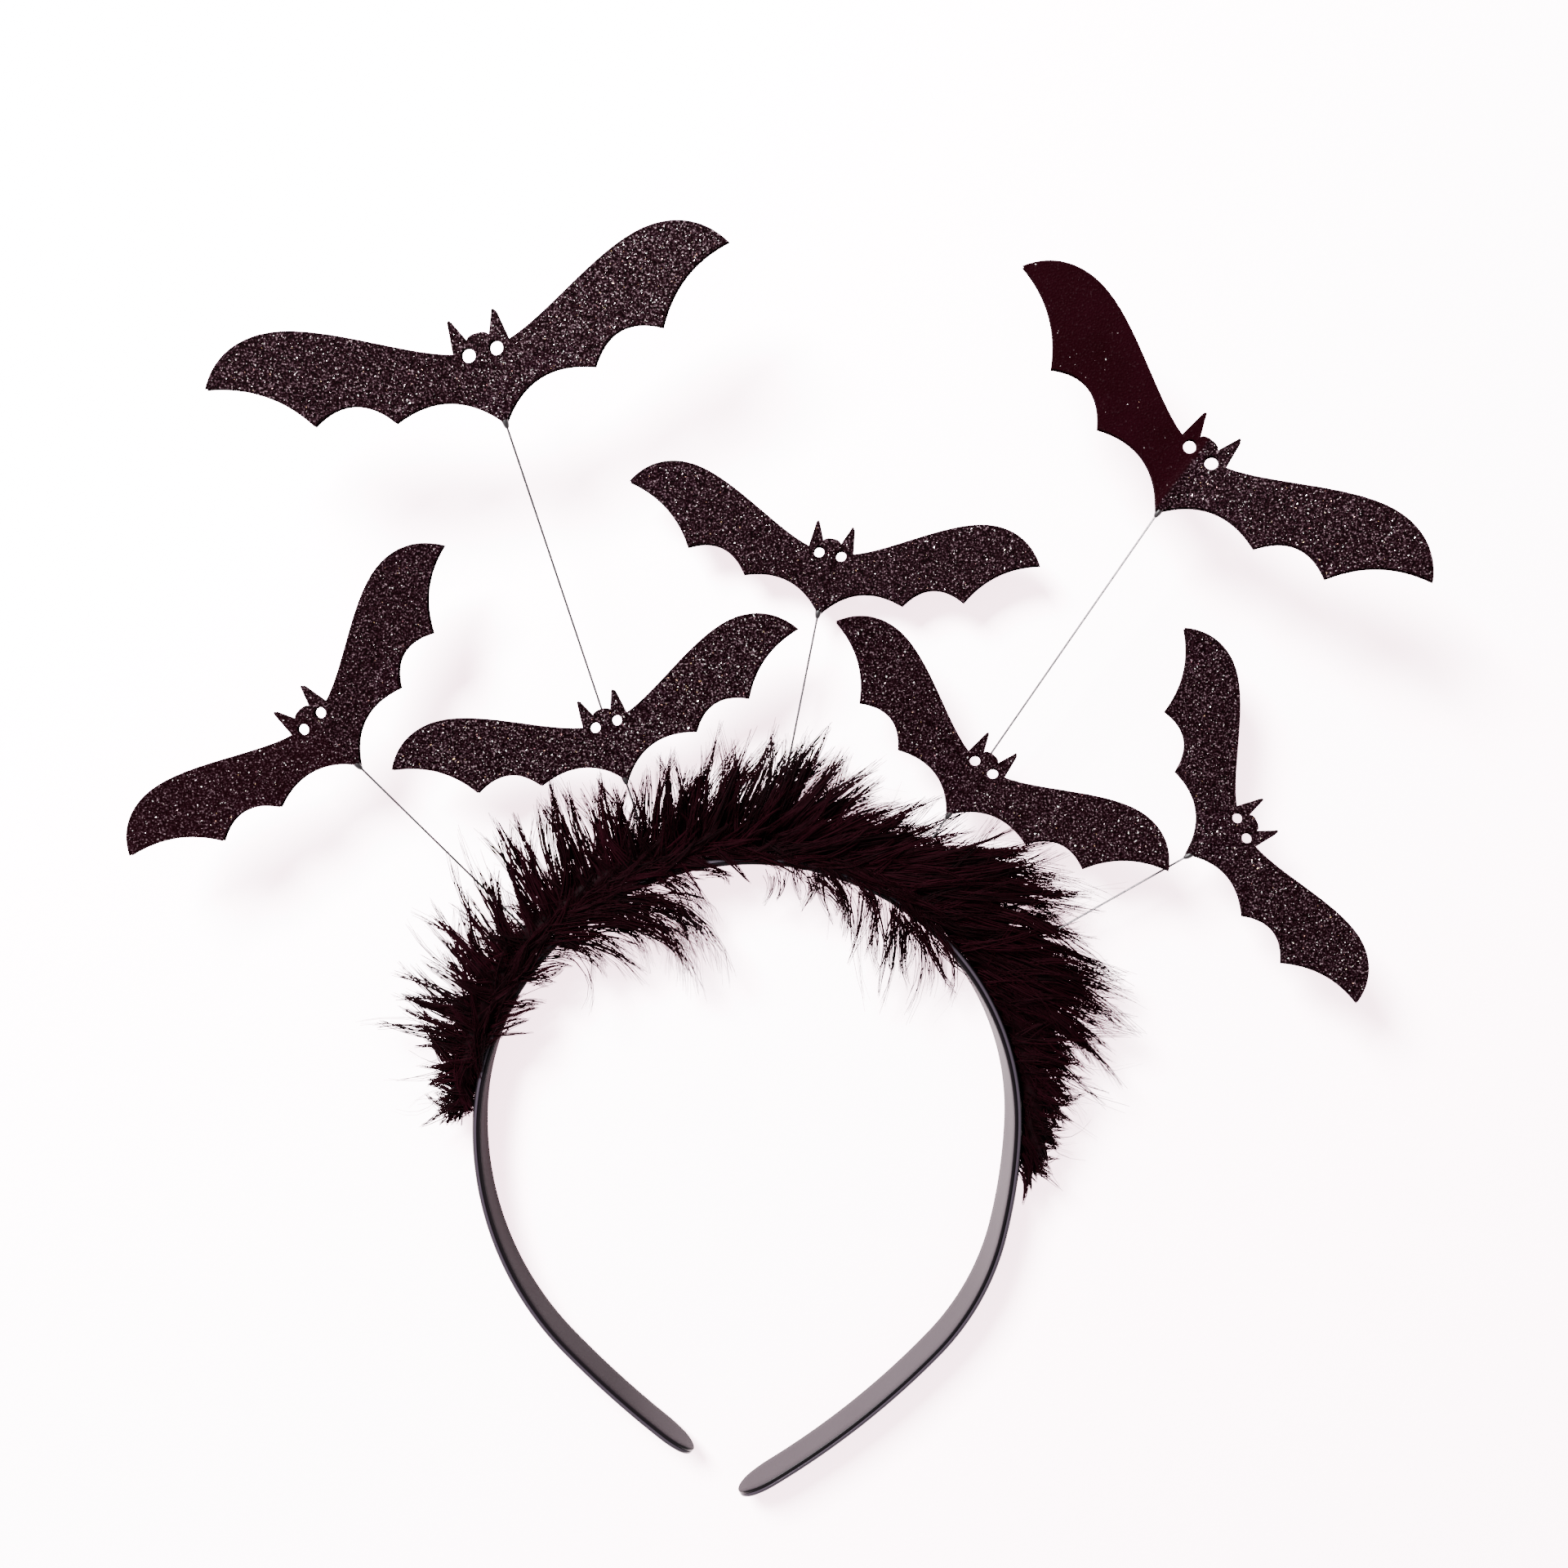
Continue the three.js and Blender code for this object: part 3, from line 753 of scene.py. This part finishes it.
def glitter_tree():
    tree = new_tree("glitter", {
        "Flakes per square metre": ("NodeSocketFloat", 2.0e6),
        "Flake radius": ("NodeSocketFloat", 0.0002),
        "Bare rim": ("NodeSocketFloat", 0.0004),
        "Tip": ("NodeSocketFloat", 0.4),
        "Seed": ("NodeSocketInt", 1),
    })
    given = tree.given
    scatter = tree.node("GeometryNodeDistributePointsOnFaces", {"distribute_method": "RANDOM"}, {
        "Mesh": given["Geometry"],
        "Selection": attribute(tree, "outer", "BOOLEAN"),
        "Density": given["Flakes per square metre"] * attribute(tree, "glitter"),
        "Seed": given["Seed"],
    }, output="Points")
    facing = tree.nodes.nodes[-1].outputs["Rotation"]
    rim = tree.node("GeometryNodeSeparateGeometry", {"domain": "FACE"}, {
        "Geometry": given["Geometry"], "Selection": attribute(tree, "rim", "BOOLEAN"),
    }, output="Selection")
    settings = {"target_element": "FACES"}
    away = tree.node("GeometryNodeProximity", settings, {"Geometry": rim}, output="Distance")
    scatter = tree.node("GeometryNodeDeleteGeometry", {"domain": "POINT"},
                        {"Geometry": scatter, "Selection": given["Bare rim"].above(away)})
    seed = given["Seed"]
    tips = [random_number(tree, given["Tip"] * -1, given["Tip"], seed + k) for k in (1, 2)]
    spin = random_number(tree, 0.0, 2 * math.pi, seed + 3)
    euler = tree.node("ShaderNodeCombineXYZ", None, [tips[0], tips[1], spin])
    tilt = tree.node("FunctionNodeEulerToRotation", None, {"Euler": euler})
    turned = tree.node("FunctionNodeRotateRotation", {"rotation_space": "LOCAL"},
                       {"Rotation": Number(tree, facing), "Rotate By": tilt})
    shape = tree.node("GeometryNodeMeshCircle", {"fill_type": "NGON"}, {"Vertices": 6, "Radius": 1.0})
    size = (0.55 + random_number(tree, 0.0, 1.0, seed + 4).to(3.0)) * given["Flake radius"]
    tinted = tree.node("GeometryNodeStoreNamedAttribute", {"data_type": "FLOAT", "domain": "POINT"}, {
        "Geometry": scatter, "Name": "tint", "Value": random_number(tree, 0.0, 1.0, seed + 5),
    })
    laid = tree.node("GeometryNodeInstanceOnPoints", None, {
        "Points": tinted, "Instance": shape, "Rotation": turned, "Scale": size,
    })
    return finish_tree(tree, laid, flake)


flakes_tree = glitter_tree()
print("glitter tree nodes:", len(flakes_tree.nodes))


def grown(thing, tree, values, name):
    """The plain mesh that a Geometry Nodes tree makes of an object."""
    modifier = thing.modifiers.new("grow", "NODES")
    modifier.node_group = tree
    sockets = {item.name: item.identifier for item in tree.interface.items_tree if item.in_out == "INPUT"}
    for label, value in values.items():
        modifier[sockets[label]] = value
    graph = bpy.context.evaluated_depsgraph_get()
    mesh = bpy.data.meshes.new_from_object(thing.evaluated_get(graph))
    thing.modifiers.remove(modifier)
    mesh.name = name
    return mesh


# %% [markdown]
# ## Making the seven bats
# Each bat is cut, folded, moved onto its wire and sprinkled. The flakes are part of the bat's own mesh,
# with a material of their own.

# %% bats
# Wire, place along it, size, turn and wing tilts in degrees, how much glitter each wing carries, and the
# radius of a flake in mm.
BATS = {
    "upper_left": ("upper_left", 0.994, LARGE_BAT, -0.8, (4, 2), (0.65, 1.15), 0.12),
    "upper_right": ("upper_right", 0.99, LARGE_BAT, -3.6, (2, 10), (0.02, 0.5), 0.14),
    "left": ("left", 1.027, SMALL_BAT, 2, (3, -3), (0.25, 0.32), 0.13),
    "top": ("top", 0.989, SMALL_BAT, 0, (3, 2), (0.38, 0.34), 0.14),
    "middle_left": ("upper_left", 0.209, SMALL_BAT, 2, (3, 3), (0.65, 0.75), 0.17),
    "middle_right": ("upper_right", 0.209, SMALL_BAT, -3.5, (3, 6), (0.32, 0.32), 0.18),
    "right": ("right", 0.982, SMALL_BAT, -5.5, (-3, 4), (0.38, 0.42), 0.14),
}
TURN_CENTRE = 0.5
OUTER_FROM = 0.9
RIM_BELOW = 0.5


def make_bat(name):
    wire, along, size, turned, tilts, glitter, _ = BATS[name]
    cards = bmesh.new()
    facing = []
    for side, shift in ((1, Vector((0, 0))), (-1, CARD_SHIFT)):
        mesh = flat_card(size, shift)
        facing += [face.normal.z * side for face in mesh.polygons]
        fold(mesh, size, tilts, side)
        cards.from_mesh(mesh)
    body = bpy.data.meshes.new(f"bat_{name}_card")
    cards.to_mesh(body)
    cards.free()
    amount = [glitter[1] if vertex.co.x > 0 else glitter[0] for vertex in body.vertices]
    mark(body, "outer", "BOOLEAN", "FACE", [z > OUTER_FROM for z in facing])
    mark(body, "rim", "BOOLEAN", "FACE", [abs(z) < RIM_BELOW for z in facing])
    mark(body, "glitter", "FLOAT", "POINT", amount)
    centre = Matrix.Translation((0, TURN_CENTRE * HEAD_TOP * size["height"], 0))
    own_turn = centre @ Matrix.Rotation(math.radians(turned), 4, "Z") @ centre.inverted()
    body.transform(Matrix.Scale(MM, 4) @ wire_frame(wire, along) @ own_turn)
    return link(bpy.data.objects.new(f"bat_{name}_card", body))


def sprinkle(number, name, bat):
    """Adds the flakes to a bat's mesh, on the outer sides of its two cards."""
    values = {"Seed": 10 + 7 * number, "Flake radius": BATS[name][-1] * MM}
    flakes = grown(bat, flakes_tree, values, f"bat_{name}_flakes")
    whole = bmesh.new()
    whole.from_mesh(bat.data)
    count = len(whole.faces)
    whole.from_mesh(flakes)
    whole.faces.ensure_lookup_table()
    for face in whole.faces[count:]:
        face.material_index = 1
    whole.to_mesh(bat.data)
    whole.free()
    return len(flakes.polygons)


for number, name in enumerate(BATS):
    bat = make_bat(name)
    bat.data.materials.append(card)
    scattered = sprinkle(number, name, bat)
    bat.data.materials.append(flake)
    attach(bat, "root")
    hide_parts(f"bat_{name}")
    print(bat.name, "flakes:", scattered)

# %% [markdown]
# ## Marabou
# Marabou is soft down: long, thin barbs that hang together in clumps and come to points. No surface
# could show that, so every barb is a thin tapered tube with a bend of its own. Python only decides where
# each clump starts and which way it goes. The tube itself is made once in Geometry Nodes, set on every
# point, and bent by vectors that the points carry.

# %% the barb tree
def barb_tree():
    tree = new_tree("barbs", {
        "Rings": ("NodeSocketInt", 6),
        "Sides": ("NodeSocketInt", 3),
        "Lowest": ("NodeSocketFloat", 0.0003),
    })
    given = tree.given
    ends = {"Start": (0, 0, 0), "End": (0, 0, 1)}
    line = tree.node("GeometryNodeCurvePrimitiveLine", {"mode": "POINTS"}, ends)
    line = tree.node("GeometryNodeResampleCurve", None, {"Curve": line, "Count": given["Rings"]})
    along = tree.node("GeometryNodeSplineParameter", output="Factor")
    taper = (1.0 - along * 0.84).to(0.55)
    profile = tree.node("GeometryNodeCurvePrimitiveCircle", {"mode": "RADIUS"},
                        {"Resolution": given["Sides"], "Radius": 1.0}, output="Curve")
    tube = tree.node("GeometryNodeCurveToMesh", None,
                     {"Curve": line, "Profile Curve": profile, "Scale": taper, "Fill Caps": True})
    height = tree.node("ShaderNodeSeparateXYZ", None, [tree.node("GeometryNodeInputPosition")], output="Z")
    tube = tree.node("GeometryNodeStoreNamedAttribute", {"data_type": "FLOAT", "domain": "POINT"},
                     {"Geometry": tube, "Name": "along", "Value": height})
    reach = attribute(tree, "reach", "FLOAT_VECTOR")
    aimed = tree.node("FunctionNodeAlignRotationToVector", {"axis": "Z"}, {"Vector": reach})
    length = tree.node("ShaderNodeVectorMath", {"operation": "LENGTH"}, [reach], output="Value")
    thick = attribute(tree, "thick")
    size = tree.node("ShaderNodeCombineXYZ", None, [thick, thick, length])
    barbs = tree.node("GeometryNodeInstanceOnPoints", None,
                      {"Points": given["Geometry"], "Instance": tube, "Rotation": aimed, "Scale": size})
    real = tree.node("GeometryNodeRealizeInstances", None, {"Geometry": barbs})
    t = attribute(tree, "along")
    bow = tree.scaled(attribute(tree, "bow", "FLOAT_VECTOR"), 4 * t * (1 - t))
    hook = tree.scaled(attribute(tree, "hook", "FLOAT_VECTOR"), t * t * t)
    offset = tree.node("ShaderNodeVectorMath", {"operation": "ADD"}, [bow, hook])
    bent = tree.node("GeometryNodeSetPosition", None, {"Geometry": real, "Offset": offset})
    now = tree.node("ShaderNodeSeparateXYZ", None, [tree.node("GeometryNodeInputPosition")], output="Z")
    rise = (given["Lowest"] - now).math("MAXIMUM", 0.0)
    up = tree.node("ShaderNodeCombineXYZ", None, [0.0, 0.0, rise])
    kept = tree.node("GeometryNodeSetPosition", None, {"Geometry": bent, "Offset": up})
    return finish_tree(tree, kept, feather)


barbs_tree = barb_tree()
print("barb tree nodes:", len(barbs_tree.nodes))

# %% [markdown]
# ## Where the barbs go
# Wet-looking tips are what makes marabou: barbs that start apart draw together and end in one point. So
# the barbs come in strands, each with one tip, and a plume is a few strands that share a way. Three
# lists say where they lie: the down is combed along the trim, the plumes stand out of it to chosen tips,
# and the sprays fall inwards over the band.

# %% lists of down, plumes and sprays
CORD_OFFSET = BAND_THICKNESS / 2 + 0.3 + 3
CORD_HEIGHT = 6.0

# How the down is combed: place along the trim, sweep and lift in degrees, reach in mm, and how far the
# strands stray from that way in degrees.
DOWN = [
    (-1.0, -30, 14, 8, 26), (-0.85, -14, 22, 10, 30), (-0.7, -2, 26, 11, 30), (-0.5, 6, 24, 12, 28),
    (-0.3, 14, 20, 13, 26), (-0.1, 26, 22, 16, 20), (0.08, 44, 20, 18, 15), (0.2, 52, 14, 16, 12),
    (0.32, 52, 10, 21, 12), (0.5, 38, 10, 20, 12), (0.65, 30, 16, 17, 13), (0.8, 24, 20, 12, 14),
    (0.92, 20, 20, 8, 15), (1.0, 30, 16, 5, 20),
]

# Plumes: root along the trim, tip from above in mm, spread of the tips in mm, barbs.
PLUMES = [
    (-0.99, (-66, -61), 1.5, 50), (-0.98, (-71, -62), 1.5, 40), (-0.93, (-74, -52), 2, 70),
    (-0.92, (-84, -54), 0.5, 4), (-0.88, (-91, -46), 2.5, 10), (-0.87, (-88, -41), 2, 12),
    (-0.87, (-76, -40), 2, 80), (-0.8, (-80, -31), 2, 110), (-0.78, (-82, -26), 1.5, 60),
    (-0.74, (-73, -21), 2, 80), (-0.71, (-77, -14), 1.5, 60), (-0.7, (-83, -16), 0.5, 5),
    (-0.67, (-68, -11), 2, 70), (-0.62, (-71, -2), 1, 14), (-0.6, (-69, 3), 0.7, 7),
    (-0.6, (-62, -3), 2, 70), (-0.53, (-60, 9), 1.5, 60), (-0.5, (-55, 8), 1.5, 70),
    (-0.47, (-58, 13), 1, 12), (-0.45, (-52, 15), 1.5, 50), (-0.42, (-48, 16), 1.5, 70),
    (-0.37, (-44, 18), 1.5, 50), (-0.34, (-38, 18), 2, 80), (-0.3, (-32, 17), 2, 90),
    (-0.26, (-28, 21), 1.5, 50), (-0.22, (-22, 26), 1.5, 50), (-0.2, (-19, 22), 2, 90),
    (-0.18, (-11, 30), 1.2, 30), (-0.16, (-12, 22), 2, 120), (-0.12, (-6, 30), 1.5, 60),
    (-0.1, (-3, 25), 2, 140), (-0.06, (-3, 32), 1.2, 30), (-0.05, (4, 29), 1.5, 90),
    (-0.02, (10, 27), 2, 150), (0.0, (16, 29), 1.5, 90), (0.01, (15, 36), 0.6, 8),
    (0.02, (20, 24), 2, 150), (0.04, (26, 24), 1.5, 70), (0.05, (28, 18), 2, 150),
    (0.08, (31, 12), 2, 120), (0.09, (36, 14), 1.2, 20), (0.12, (35, 8), 2, 120),
    (0.15, (42, 9), 1.5, 80), (0.17, (48, 10), 2, 60), (0.2, (53, 5), 2, 150),
    (0.23, (61, 5), 1.5, 60), (0.25, (63, 1), 3, 220), (0.28, (70, -1), 2.5, 190),
    (0.3, (84, 0), 0.8, 8), (0.31, (74, -7), 3, 240), (0.33, (79, -9), 1.5, 60),
    (0.35, (86, -11), 0.8, 8), (0.37, (78, -14), 2.5, 190), (0.4, (74, -20), 2, 120),
    (0.42, (81, -22), 2, 130), (0.45, (87, -29), 2, 160), (0.48, (92, -32), 1, 50),
    (0.5, (84, -34), 2.5, 200), (0.53, (90, -38), 1.6, 110), (0.56, (83, -42), 2.5, 180),
    (0.6, (87, -47), 1.4, 70), (0.62, (79, -46), 2, 120), (0.64, (88, -50), 0.8, 12),
    (0.67, (77, -52), 2, 100), (0.68, (83, -58), 0.8, 16), (0.69, (87, -58), 0.6, 6),
    (0.75, (75, -58), 1.5, 90), (0.82, (74, -63), 1.5, 90), (0.88, (73, -67), 1.5, 80),
    (0.93, (70, -70), 1.2, 60), (0.96, (66, -76), 1, 24), (0.97, (72, -75), 0.8, 14),
    (0.98, (76, -78), 0.5, 5),
]

# Sprays that fall inwards: root and tip from above in mm, how far the middle bows, spread, barbs.
SPRAYS = [
    ((-58, -40), (-51, -40), (0, 1), 1, 26), ((-57, -35), (-48, -35), (0, 1), 1, 30),
    ((-52, -28), (-46, -30), (1, 1), 1, 40), ((-50, -26), (-42, -24), (1, 1), 1, 40),
    ((-44, -21), (-37, -41), (4, 1), 0.4, 5), ((-45, -19), (-32, -28), (2, 2), 2, 50),
    ((-44, -17), (-24, -23), (2, 3), 3, 90), ((-42, -15), (-18, -24), (3, 4), 3, 90),
    ((-38, -13), (-12, -26), (4, 5), 2.5, 90), ((-36, -11), (-12, -31), (6, 5), 2, 60),
    ((-33, -9), (-6, -30), (6, 5), 1.5, 40), ((-28, -8), (-10, -20), (3, 3), 2.5, 70),
    ((-24, -5), (-12, -15), (2, 2), 2, 50), ((-12, -2), (-5, -6), (1, 1), 1, 24),
    ((4, -1), (7, -11), (1, 1), 1, 30), ((9, -2), (12, -12), (1, 1), 1, 36),
    ((13, -3), (17, -15), (1, 1), 1.2, 44), ((17, -4), (22, -20), (1, 2), 1.2, 44),
    ((23, -6), (24, -37), (-1, 0), 0.5, 6), ((22, -5), (28, -13), (1, 1), 1.5, 50),
    ((26, -7), (25, -24), (1, 1), 1.5, 36), ((28, -8), (28, -29), (-1, 1), 1, 24),
    ((30, -10), (30, -40), (1, 1), 0.5, 8), ((31, -11), (33, -27), (1, 1), 2, 48),
    ((33, -12), (32, -34), (-1, 1), 1, 24), ((34, -12), (38, -39), (1, 1), 0.6, 12),
    ((35, -13), (38, -29), (1, 1), 2, 48), ((37, -14), (42, -33), (1, 1), 1, 24),
    ((38, -15), (46, -33), (1, 1), 0.8, 24), ((41, -17), (50, -30), (1, 1), 0.8, 16),
]
print("plumes:", len(PLUMES), "sprays:", len(SPRAYS))

# %% strands
STRAND = 12


def side_of(way):
    return Vector((-way.y, way.x, 0)).normalized()


class Barbs:
    """The barbs of one piece, gathered strand by strand. All lengths are in mm."""

    def __init__(self, name, seed):
        self.name = name
        self.draw = np.random.default_rng(seed)
        self.rows = {key: [] for key in ("root", "reach", "bow", "hook", "thick", "shade")}

    def strand(self, root, tip, count, spread, sway, hook, thick):
        """Barbs that start apart round a root and draw together towards a tip."""
        draw = self.draw
        length = (tip - root).length
        share = draw.uniform(0.62, 1.0, (count, 1)) ** 0.5
        starts = np.array(root) + draw.normal(0, spread, (count, 3))
        ends = np.array(tip) + draw.normal(0, 0.06 * spread + 0.006 * length, (count, 3))
        self.rows["root"].append(starts)
        self.rows["reach"].append((ends - starts) * share)
        self.rows["bow"].append(np.array(sway) * share + draw.normal(0, 0.010 * length, (count, 3)))
        self.rows["hook"].append(np.array(hook) * share + draw.normal(0, 0.014 * length, (count, 3)))
        self.rows["thick"].append(draw.uniform(0.65, 1.35, count) * thick)
        self.rows["shade"].append(draw.uniform(0, 0.65) + draw.uniform(0, 0.35, count))

    def plume(self, root, tip, bow, tip_spread, count, root_spread=1.8, thick=0.15):
        """A few strands from about one root to about one tip."""
        draw = self.draw
        way = tip - root
        length = way.length
        side = side_of(way)
        for _ in range(max(1, round(count / STRAND))):
            start = root + Vector(draw.normal(0, root_spread, 3))
            end = root + way * draw.uniform(0.82, 1.08) + side * draw.normal(0, tip_spread)
            end.z += draw.normal(0, 1.2)
            sway = bow + side * draw.normal(0, 0.06) * length
            sway.z += draw.uniform(0.0, 0.1) * length
            hook = side * draw.normal(0, 0.09) * length
            self.strand(start, end, min(STRAND, count), 0.9, sway, hook, thick)

    def piece(self):
        """Grows the barbs as one object."""
        rows = {key: np.concatenate(value) for key, value in self.rows.items()}
        roots = rows.pop("root")
        points = bpy.data.meshes.new("roots")
        points.from_pydata([tuple(spot) for spot in roots * MM], [], [])
        for key, values in rows.items():
            kind = "FLOAT_VECTOR" if values.ndim == 2 else "FLOAT"
            unit = 1.0 if key == "shade" else MM
            mark(points, key, kind, "POINT", (values * unit).astype(np.float32).ravel())
        holder = link(bpy.data.objects.new("roots", points))
        mesh = grown(holder, barbs_tree, {}, self.name)
        bpy.data.objects.remove(holder)
        mesh.shade_smooth()
        piece = link(bpy.data.objects.new(self.name, mesh))
        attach(piece, "root")
        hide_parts("feather_trim")
        triangles = sum(len(face.vertices) - 2 for face in mesh.polygons)
        print(self.name, "barbs:", len(roots), "triangles:", triangles)


print("barbs to a strand:", STRAND)

# %% [markdown]
# ## The outer trim
# The trim is made in four pieces, so that none grows too heavy. Each takes its stretch of the combed
# down, strands that close the seam beside the band, the plumes that root in it, and a few stray hairs.

# %% outer trim
DOWN_PER_MM = 3.0
SEAM_PER_MM = 1.5
HAIRS_PER_MM = 0.75
TRIM_PARTS = {
    "left": (-1.0, -0.31),
    "crown": (-0.31, 0.15),
    "right": (0.15, 0.5),
    "lower_right": (0.5, 1.0),
}


def combed(share):
    """Sweep, lift, reach and stray of the down at a place along the trim."""
    stations = [row[0] for row in DOWN]
    return [float(np.interp(share, stations, [row[k] for row in DOWN])) for k in (1, 2, 3, 4)]


def length_of(first, last):
    return (max(0, last) - max(0, first)) * TRIM_RIGHT + (min(0, last) - min(0, first)) * TRIM_LEFT


def lay_down(barbs, first, last):
    """Short strands all over a stretch of the trim, combed one way."""
    draw = barbs.draw
    for _ in range(round(length_of(first, last) * DOWN_PER_MM)):
        share = draw.uniform(first, last)
        sweep, lift, reach, stray = combed(share)
        place, out, on = trim_at(share)
        root = place + out * draw.uniform(1.6, 6.5)
        root.z = draw.uniform(2.5, 11.5)
        turned = math.radians(sweep + draw.normal(0, stray))
        raised = math.radians(draw.uniform(-8, lift + 8))
        level = (out * math.cos(turned) + on * math.sin(turned)) * math.cos(raised)
        way = Vector((level.x, level.y, math.sin(raised)))
        length = reach * draw.uniform(0.5, 1.1)
        sway = side_of(way) * draw.normal(0, 0.08) * length + Vector((0, 0, 0.08 * length))
        hook = side_of(way) * draw.normal(0, 0.09) * length
        barbs.strand(root, root + way * length, STRAND, 0.8, sway, hook, 0.105)


def lay_seam(barbs, first, last):
    """Strands along the band's outer edge, which close the line between the band and the trim."""
    draw = barbs.draw
    for _ in range(round(length_of(first, last) * SEAM_PER_MM)):
        place, out, on = trim_at(draw.uniform(first, last))
        root = place + out * draw.uniform(1.5, 2.2)
        root.z = draw.uniform(7.5, 11.4)
        turned = math.radians(draw.normal(20, 8))
        way = on * math.cos(turned) + out * math.sin(turned)
        length = draw.uniform(5, 9)
        barbs.strand(root, root + way * length, STRAND, 0.5, out * 0.6, Vector(), 0.12)


def stray_hairs(barbs, first, last):
    """Single thin hairs that stand out of the down any way."""
    draw = barbs.draw
    for _ in range(round(length_of(first, last) * HAIRS_PER_MM)):
        share = draw.uniform(first, last)
        sweep, _, reach, _ = combed(share)
        place, out, on = trim_at(share)
        root = place + out * draw.uniform(2, 8)
        root.z = draw.uniform(4, 12)
        turned = math.radians(sweep + draw.normal(0, 38))
        level = out * math.cos(turned) + on * math.sin(turned)
        way = Vector((level.x, level.y, draw.uniform(-0.1, 0.5)))
        length = reach * draw.uniform(1.0, 1.7)
        side = side_of(way)
        sway = side * draw.normal(0, 0.14) * length
        barbs.strand(root, root + way * length, 2, 0.3, sway, side * draw.normal(0, 0.2) * length, 0.08)


for number, (side, (first, last)) in enumerate(TRIM_PARTS.items()):
    barbs = Barbs(f"feather_barbs_{side}", 40 + number)
    lay_down(barbs, first, last)
    lay_seam(barbs, first, last)
    for at, tip, tip_spread, count in PLUMES:
        if first <= at < last:
            place, out, _ = trim_at(at)
            root = place + out * CORD_OFFSET
            root.z = CORD_HEIGHT + 1.5
            barbs.plume(root, Vector((*tip, barbs.draw.uniform(6, 11))), Vector(), tip_spread, count)
    stray_hairs(barbs, first, last)
    barbs.piece()

# %% [markdown]
# ## Down over the band
# On the left and over the crown the down also lies over the band's upper edge, and loose sprays hang
# inwards from it. Further down on the right the edge stays bare.

# %% inner barbs
COVER_FROM = -0.9
COVER_TO = 0.38
COVER_STRANDS = 210
COVER_HEIGHT = 11.9

inner = Barbs("feather_barbs_inner", 60)
for k in range(COVER_STRANDS):
    draw = inner.draw
    at = COVER_FROM + (COVER_TO - COVER_FROM) * (k + draw.uniform(0, 1)) / COVER_STRANDS
    place, out, on = trim_at(at)
    root = place + out * draw.uniform(0.4, 4)
    root.z = COVER_HEIGHT + draw.uniform(-0.4, 0.8)
    turned = math.radians(draw.normal(4, 22))
    level = on * math.cos(turned) - out * math.sin(turned)
    way = Vector((level.x, level.y, draw.uniform(-0.02, 0.16))).normalized()
    length = draw.uniform(6, 12)
    sway = Vector((0, 0, 0.1 * length))
    hook = side_of(way) * draw.normal(0, 0.1) * length
    inner.strand(root, root + way * length, STRAND, 0.6, sway, hook, 0.1)
for start, end, bow, spread, count in SPRAYS:
    root = Vector((*start, COVER_HEIGHT))
    tip = Vector((*end, inner.draw.uniform(5, 9)))
    inner.plume(root, tip, Vector((*bow, 1.5)), 1.4 * spread, count, 1.2, 0.115)
inner.piece()

# %% [markdown]
# ## The core of the trim
# Under the barbs runs the cord that the down is wound on. It only shows as darkness between the barbs,
# so it is an uneven black roll with the same finish.

# %% core
CORE_SIDES = 18
CORE_STEP = 1.5
CORE_DEPTH = 3.2
CORE_BREADTH = 5.0


def boxy(value):
    """Pushes a cosine outwards, so that the core fills the corner beside the band."""
    return math.copysign(abs(value) ** 0.6, value)


def make_core():
    draw = np.random.default_rng(80)
    count = round((TRIM_LEFT + TRIM_RIGHT) / CORE_STEP)
    swells = draw.uniform(0.82, 1.0, (count + 1, CORE_SIDES))
    points = []
    for k in range(count + 1):
        distance = -TRIM_LEFT + (TRIM_LEFT + TRIM_RIGHT) * k / count
        place, out, _ = band_at(distance)
        ends = min(1.0, 0.35 + min(k, count - k) * 0.2)
        for s, angle in enumerate(turns(CORE_SIDES)):
            swell = swells[k, s] * ends
            level = math.cos(angle)
            depth = level * swell if level > 0 else boxy(level) * ends
            spot = place + out * (CORD_OFFSET + CORE_DEPTH * depth)
            spot.z = CORD_HEIGHT + CORE_BREADTH * math.sin(angle) * swell
            points.append(spot * MM)
    core = object_from("feather_core", points, tube_faces(count + 1, CORE_SIDES))
    mark(core.data, "shade", "FLOAT", "POINT", draw.uniform(0, 0.3, len(points)))
    return core


core = make_core()
outwards_facing(core)
core.data.materials.append(feather)
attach(core, "root")
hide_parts("feather_trim")
print("core faces:", len(core.data.polygons))

# %% [markdown]
# ## Glue at the tails
# Where a wire goes in between the two cards, a drop of black glue holds it. It is a small spindle
# round the wire, turned from a short profile.

# %% glue
GLUE_PROFILE = [(-1.0, 0.28), (-0.85, 0.42), (-0.5, 0.56), (0.0, 0.68), (0.6, 0.74), (1.2, 0.6), (1.6, 0.3)]
GLUE_SIDES = 14


def make_glue(name):
    wire, along = BATS[name][:2]
    points = []
    for y, radius in GLUE_PROFILE:
        for angle in turns(GLUE_SIDES):
            points.append(Vector((radius * math.cos(angle), y, radius * math.sin(angle))))
    drop = object_from(f"glue_{name}", points, tube_faces(len(GLUE_PROFILE), GLUE_SIDES))
    drop.data.transform(Matrix.Scale(MM, 4) @ wire_frame(wire, along))
    outwards_facing(drop)
    drop.data.materials.append(glue)
    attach(drop, "root")


for name in BATS:
    make_glue(name)
print("glue drops:", len(BATS))
